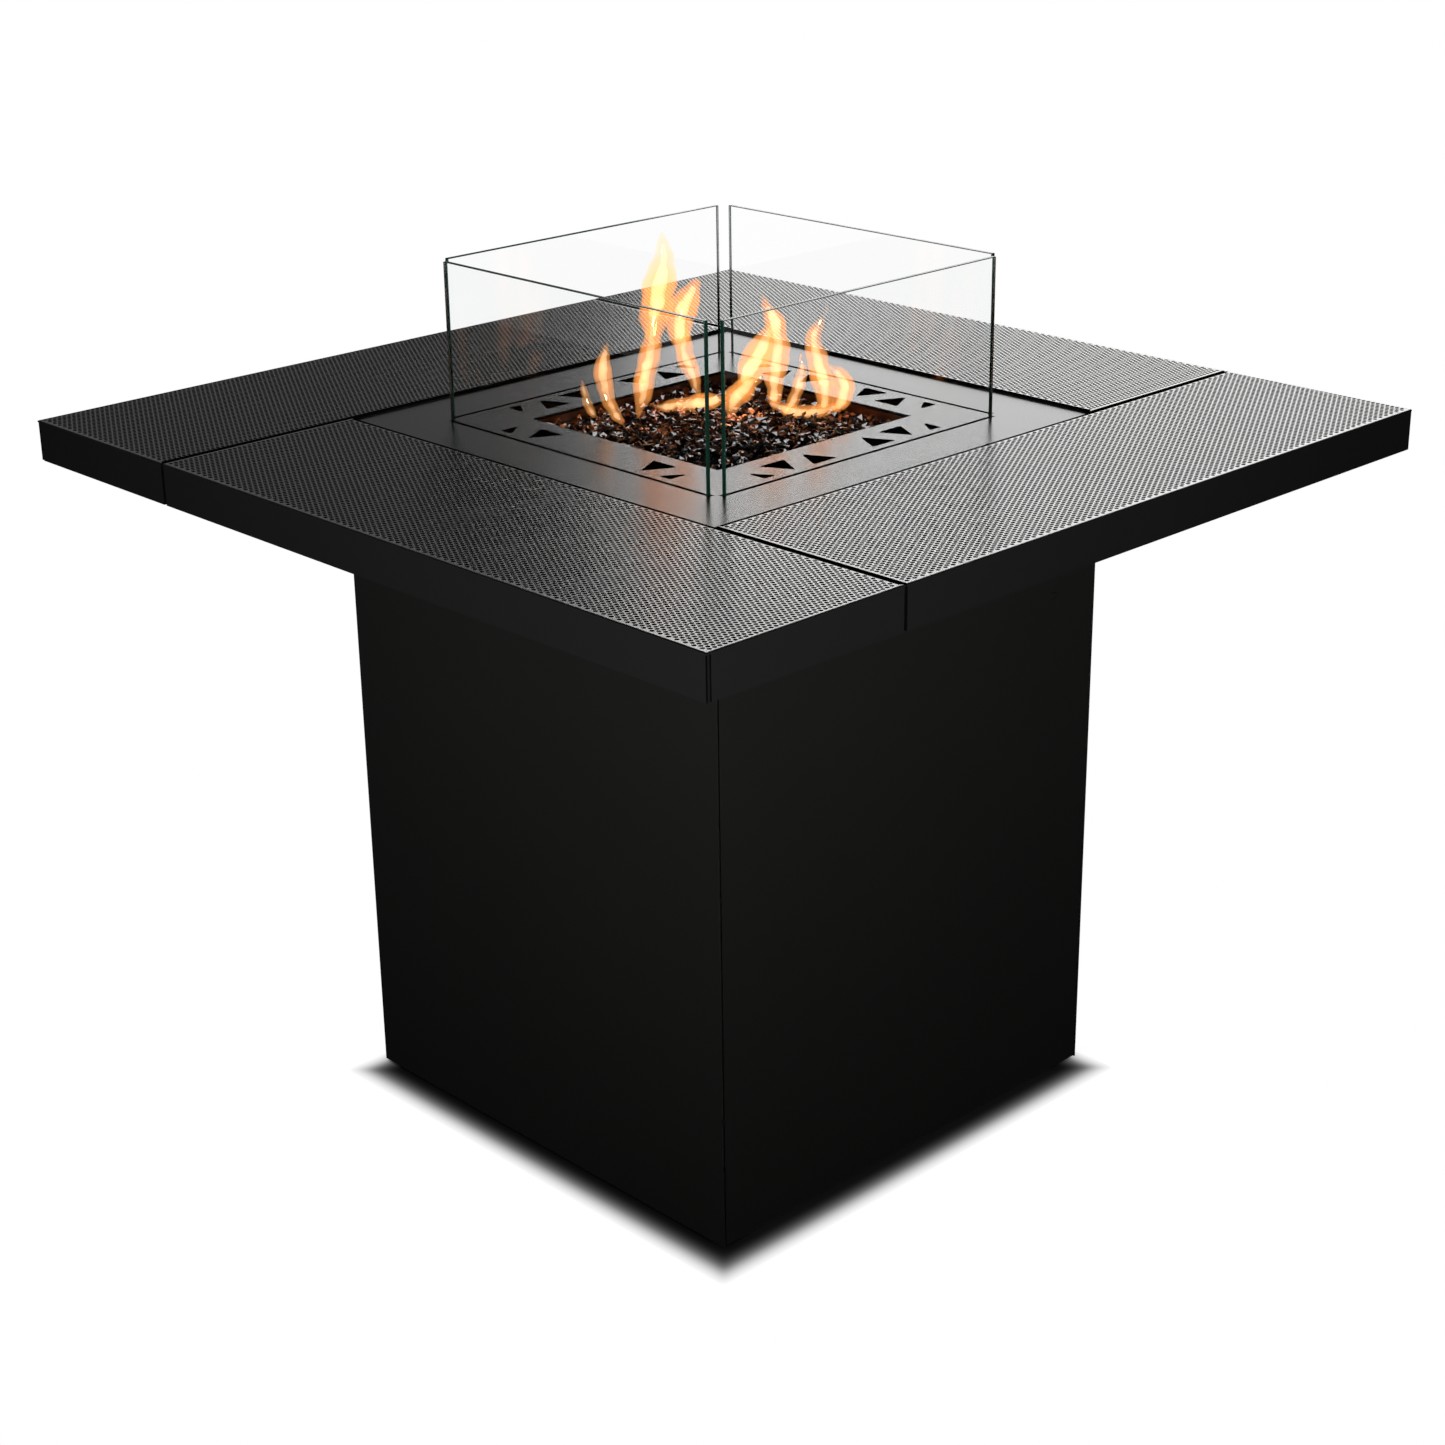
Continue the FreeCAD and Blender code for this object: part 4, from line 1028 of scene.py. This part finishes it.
def build_world():
    """White for rays that have not bounced off anything yet, dim grey for the rest."""
    world = bpy.data.worlds.new("studio_world")
    world.use_nodes = True
    tree = world.node_tree
    tree.nodes.clear()
    depth = tree.nodes.new("ShaderNodeLightPath").outputs
    bounces = calculate(tree, "ShaderNodeMath", "ADD", depth["Glossy Depth"], depth["Diffuse Depth"])
    mix = tree.nodes.new("ShaderNodeMixShader")
    tree.links.new(calculate(tree, "ShaderNodeMath", "LESS_THAN", bounces, NO_BOUNCE), mix.inputs["Fac"])
    for socket, grey in ((mix.inputs[1], WORLD_GREY), (mix.inputs[2], 1.0)):
        backdrop = tree.nodes.new("ShaderNodeBackground")
        backdrop.inputs["Color"].default_value = (grey, grey, grey, 1.0)
        tree.links.new(backdrop.outputs[0], socket)
    out = tree.nodes.new("ShaderNodeOutputWorld")
    tree.links.new(mix.outputs[0], out.inputs["Surface"])
    bpy.context.scene.world = world


build_world()
print("world:", bpy.context.scene.world.name)

# %% [markdown]
# ## Kinds of light
# Far panels are large, and what they do is told by the angles that they fill as seen from
# the table. Near lights are soft discs. The power of either is worked out from how bright
# its face should look: brightness times pi times area. Light linking lets a lamp reach
# only some pieces.

# %% Light helpers
PANEL_DISTANCE = 8.0
PANEL_CENTRE = Vector((0, 0, 0.75))  # the panels stand around this point
OUTSIDE_SLOTS = ("board_paint", "cover_steel", "pane_glass", "fire_glass_chips")


def light_only(lamp, pieces):
    """Let a lamp reach only the given pieces."""
    lit = bpy.data.collections.new(lamp.name + "_receivers")
    for piece in pieces:
        lit.objects.link(piece)
    lamp.light_linking.receiver_collection = lit


def angle_width(angles, distance):
    """Width that fills a range of angles, in degrees, at a distance."""
    return 2.0 * distance * math.tan(math.radians((angles[1] - angles[0]) / 2.0))


def far_panel(name, azimuth, elevation, radiance, distance=PANEL_DISTANCE, gloss_only=False, only_on=None):
    """Area light that fills the given angles as seen from the table, at the given brightness."""
    turn = math.radians(sum(azimuth) / 2.0)
    rise = math.radians(sum(elevation) / 2.0)
    outward = Vector((math.cos(turn) * math.cos(rise), math.sin(turn) * math.cos(rise), math.sin(rise)))
    panel = add_lamp(name, "AREA", outward * distance + PANEL_CENTRE, mirrored=True)
    panel.rotation_euler = outward.to_track_quat("Z", "Y").to_euler()
    panel.visible_diffuse = not gloss_only
    light = panel.data
    light.shape = "RECTANGLE"
    light.size = angle_width(azimuth, distance)
    light.size_y = angle_width(elevation, distance)
    light.energy = radiance * math.pi * light.size * light.size_y
    if only_on:
        light_only(panel, [bpy.data.objects[only_on]])


def near_light(name, place, target, size, radiance, beam):
    """Soft light near the table, with a narrowed beam so that it fades towards the floor."""
    soft = add_lamp(name, "AREA", place)
    soft.rotation_euler = (Vector(place) - Vector(target)).to_track_quat("Z", "Y").to_euler()
    light = soft.data
    light.shape = "DISK"
    light.size = size
    light.energy = radiance * math.pi * math.pi * (size / 2.0) ** 2
    light.spread = math.radians(beam)


def cabinet_light(place, watts, softness):
    """Small soft lamp inside the pedestal, so that an open door shows what is behind it."""
    lamp = add_lamp("cabinet_light", "POINT", place)
    lamp.data.energy = watts
    lamp.data.shadow_soft_size = softness
    inside = [part for node, part in frame["nodes"].items() if slot_of_node[node] not in OUTSIDE_SLOTS]
    panels = [piece for piece in bpy.data.objects
              if piece.name.endswith("_soft_edged") and not piece.name.startswith("cover")]
    light_only(lamp, inside + panels)


print("light helpers ready")

# %% [markdown]
# ## Set the lights
# A wide bright panel stands far behind and to the right, so the right half of the top
# catches it and the left half does not. A dim panel carries on to the left, and another
# stands in front for the views from behind. A soft light in front lifts the pedestal, and
# one behind does the same for the far side. A high light makes only the fire glass
# sparkle, and a small lamp inside the pedestal shows what an open door reveals.

# %% Lights
far_panel("bright_panel", (100.0, 137.8), (3.0, 32.0), 2.35)
far_panel("dim_panel", (137.8, 175.0), (3.0, 32.0), 0.15)
near_light("front_light", (2.0, -2.1, 1.0), (0.0, 0.0, 0.9), 0.9, 2.15, 46.0)
far_panel("front_panel_of_light", (-85.0, -5.0), (3.0, 32.0), 0.30, gloss_only=True)
far_panel("sparkle_light", (-120.0, 20.0), (50.0, 80.0), 8.0, distance=5.0, gloss_only=True,
          only_on="fire_glass_heap")
near_light("back_light", (-2.1, 2.0, 1.9), (-0.1, 0.1, 0.85), 1.0, 2.0, 60.0)
cabinet_light((0.05, 0.0, 0.40), 2.0, 0.1)
print("lights:", len(bpy.data.lights))

# %% [markdown]
# ## The floor
# The floor only has to be pale and plain. It glows white by itself, so no lamp can leave
# a grey patch on it. Two masks paint a contact shadow into its glow: one measures how far
# a point is from the square foot of the pedestal, and an Ambient Occlusion node finds
# whatever else comes close to the floor, such as the open door.

# %% Floor finish
CONTACT_REACH = 45.0 * MM   # how far the contact shadow reaches
CORNER_SOFTNESS = 12.0 * MM  # rounds the shadow a little at the corners
SHADOW_SHIFT = 15.0 * MM   # the shadow leans towards the camera side
FOOT_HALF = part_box("front_panel")[1].x - SHADOW_SHIFT
FOOT_SHADE = ((0.0, 0.004), (0.25, 0.008), (0.50, 0.12), (0.72, 0.60), (0.95, 1.0))
GAP_SHADE = ((0.2, 0.1), (0.6, 1.0))
GAP_SAMPLES = 16


def shade(tree, factor, stops):
    """Smooth grey ramp through the given positions and brightnesses."""
    return colour_ramp(tree, factor, [(position, (grey, grey, grey)) for position, grey in stops], "B_SPLINE")


def foot_distance(tree):
    """How far a point lies outside the pedestal's foot, as a share of the shadow's reach."""
    lean = (SHADOW_SHIFT, -SHADOW_SHIFT, 0.0)
    shifted = calculate(tree, "ShaderNodeVectorMath", "SUBTRACT", object_coordinates(tree), lean)
    place = calculate(tree, "ShaderNodeVectorMath", "ABSOLUTE", shifted)
    beyond = calculate(tree, "ShaderNodeVectorMath", "SUBTRACT", place, (FOOT_HALF, FOOT_HALF, 0.0))
    sides = tree.nodes.new("ShaderNodeSeparateXYZ")
    tree.links.new(beyond, sides.inputs[0])
    further = calculate(tree, "ShaderNodeMath", "SMOOTH_MAX", sides.outputs["X"], sides.outputs["Y"],
                        CORNER_SOFTNESS)
    return calculate(tree, "ShaderNodeMath", "DIVIDE", further, CONTACT_REACH)


def floor_finish():
    """White glow, with a painted shadow at the foot and under whatever comes close."""
    material, tree, out = bare_material("pale_floor")
    gap = tree.nodes.new("ShaderNodeAmbientOcclusion")
    gap.inputs["Distance"].default_value = CONTACT_REACH
    gap.samples = GAP_SAMPLES
    both = tree.nodes.new("ShaderNodeMix")
    both.data_type = "RGBA"
    both.blend_type = "MULTIPLY"
    both.inputs["Factor"].default_value = 1.0
    glow = tree.nodes.new("ShaderNodeEmission")
    # The two masks paint a contact shadow: one from the pedestal's foot, one from the Ambient Occlusion node.
    tree.links.new(shade(tree, foot_distance(tree), FOOT_SHADE), both.inputs[6])
    tree.links.new(shade(tree, gap.outputs["AO"], GAP_SHADE), both.inputs[7])
    tree.links.new(both.outputs[2], glow.inputs["Color"])
    tree.links.new(glow.outputs[0], out.inputs["Surface"])
    return material


print("floor finish ready")

# %% [markdown]
# ## Lay the floor
# One large flat face is enough. It is hidden from reflections and bounced light, so it
# lightens nothing above it. The picture's colours are shown plainly, with no film look.

# %% Lay the floor
FLOOR_HALF = 15.0          # half the floor's width


def lay_floor():
    """Plain white floor that mirrors and bounced light don't meet."""
    bm = bmesh.new()
    bmesh.ops.create_grid(bm, x_segments=1, y_segments=1, size=FLOOR_HALF)
    floor = object_from(bm, "studio_floor", (floor_finish(),))
    floor.visible_diffuse = False
    floor.visible_glossy = False
    floor.visible_shadow = False


lay_floor()
scene = bpy.context.scene
scene.view_settings.view_transform = "Standard"
scene.view_settings.look = "None"
print("floor laid")
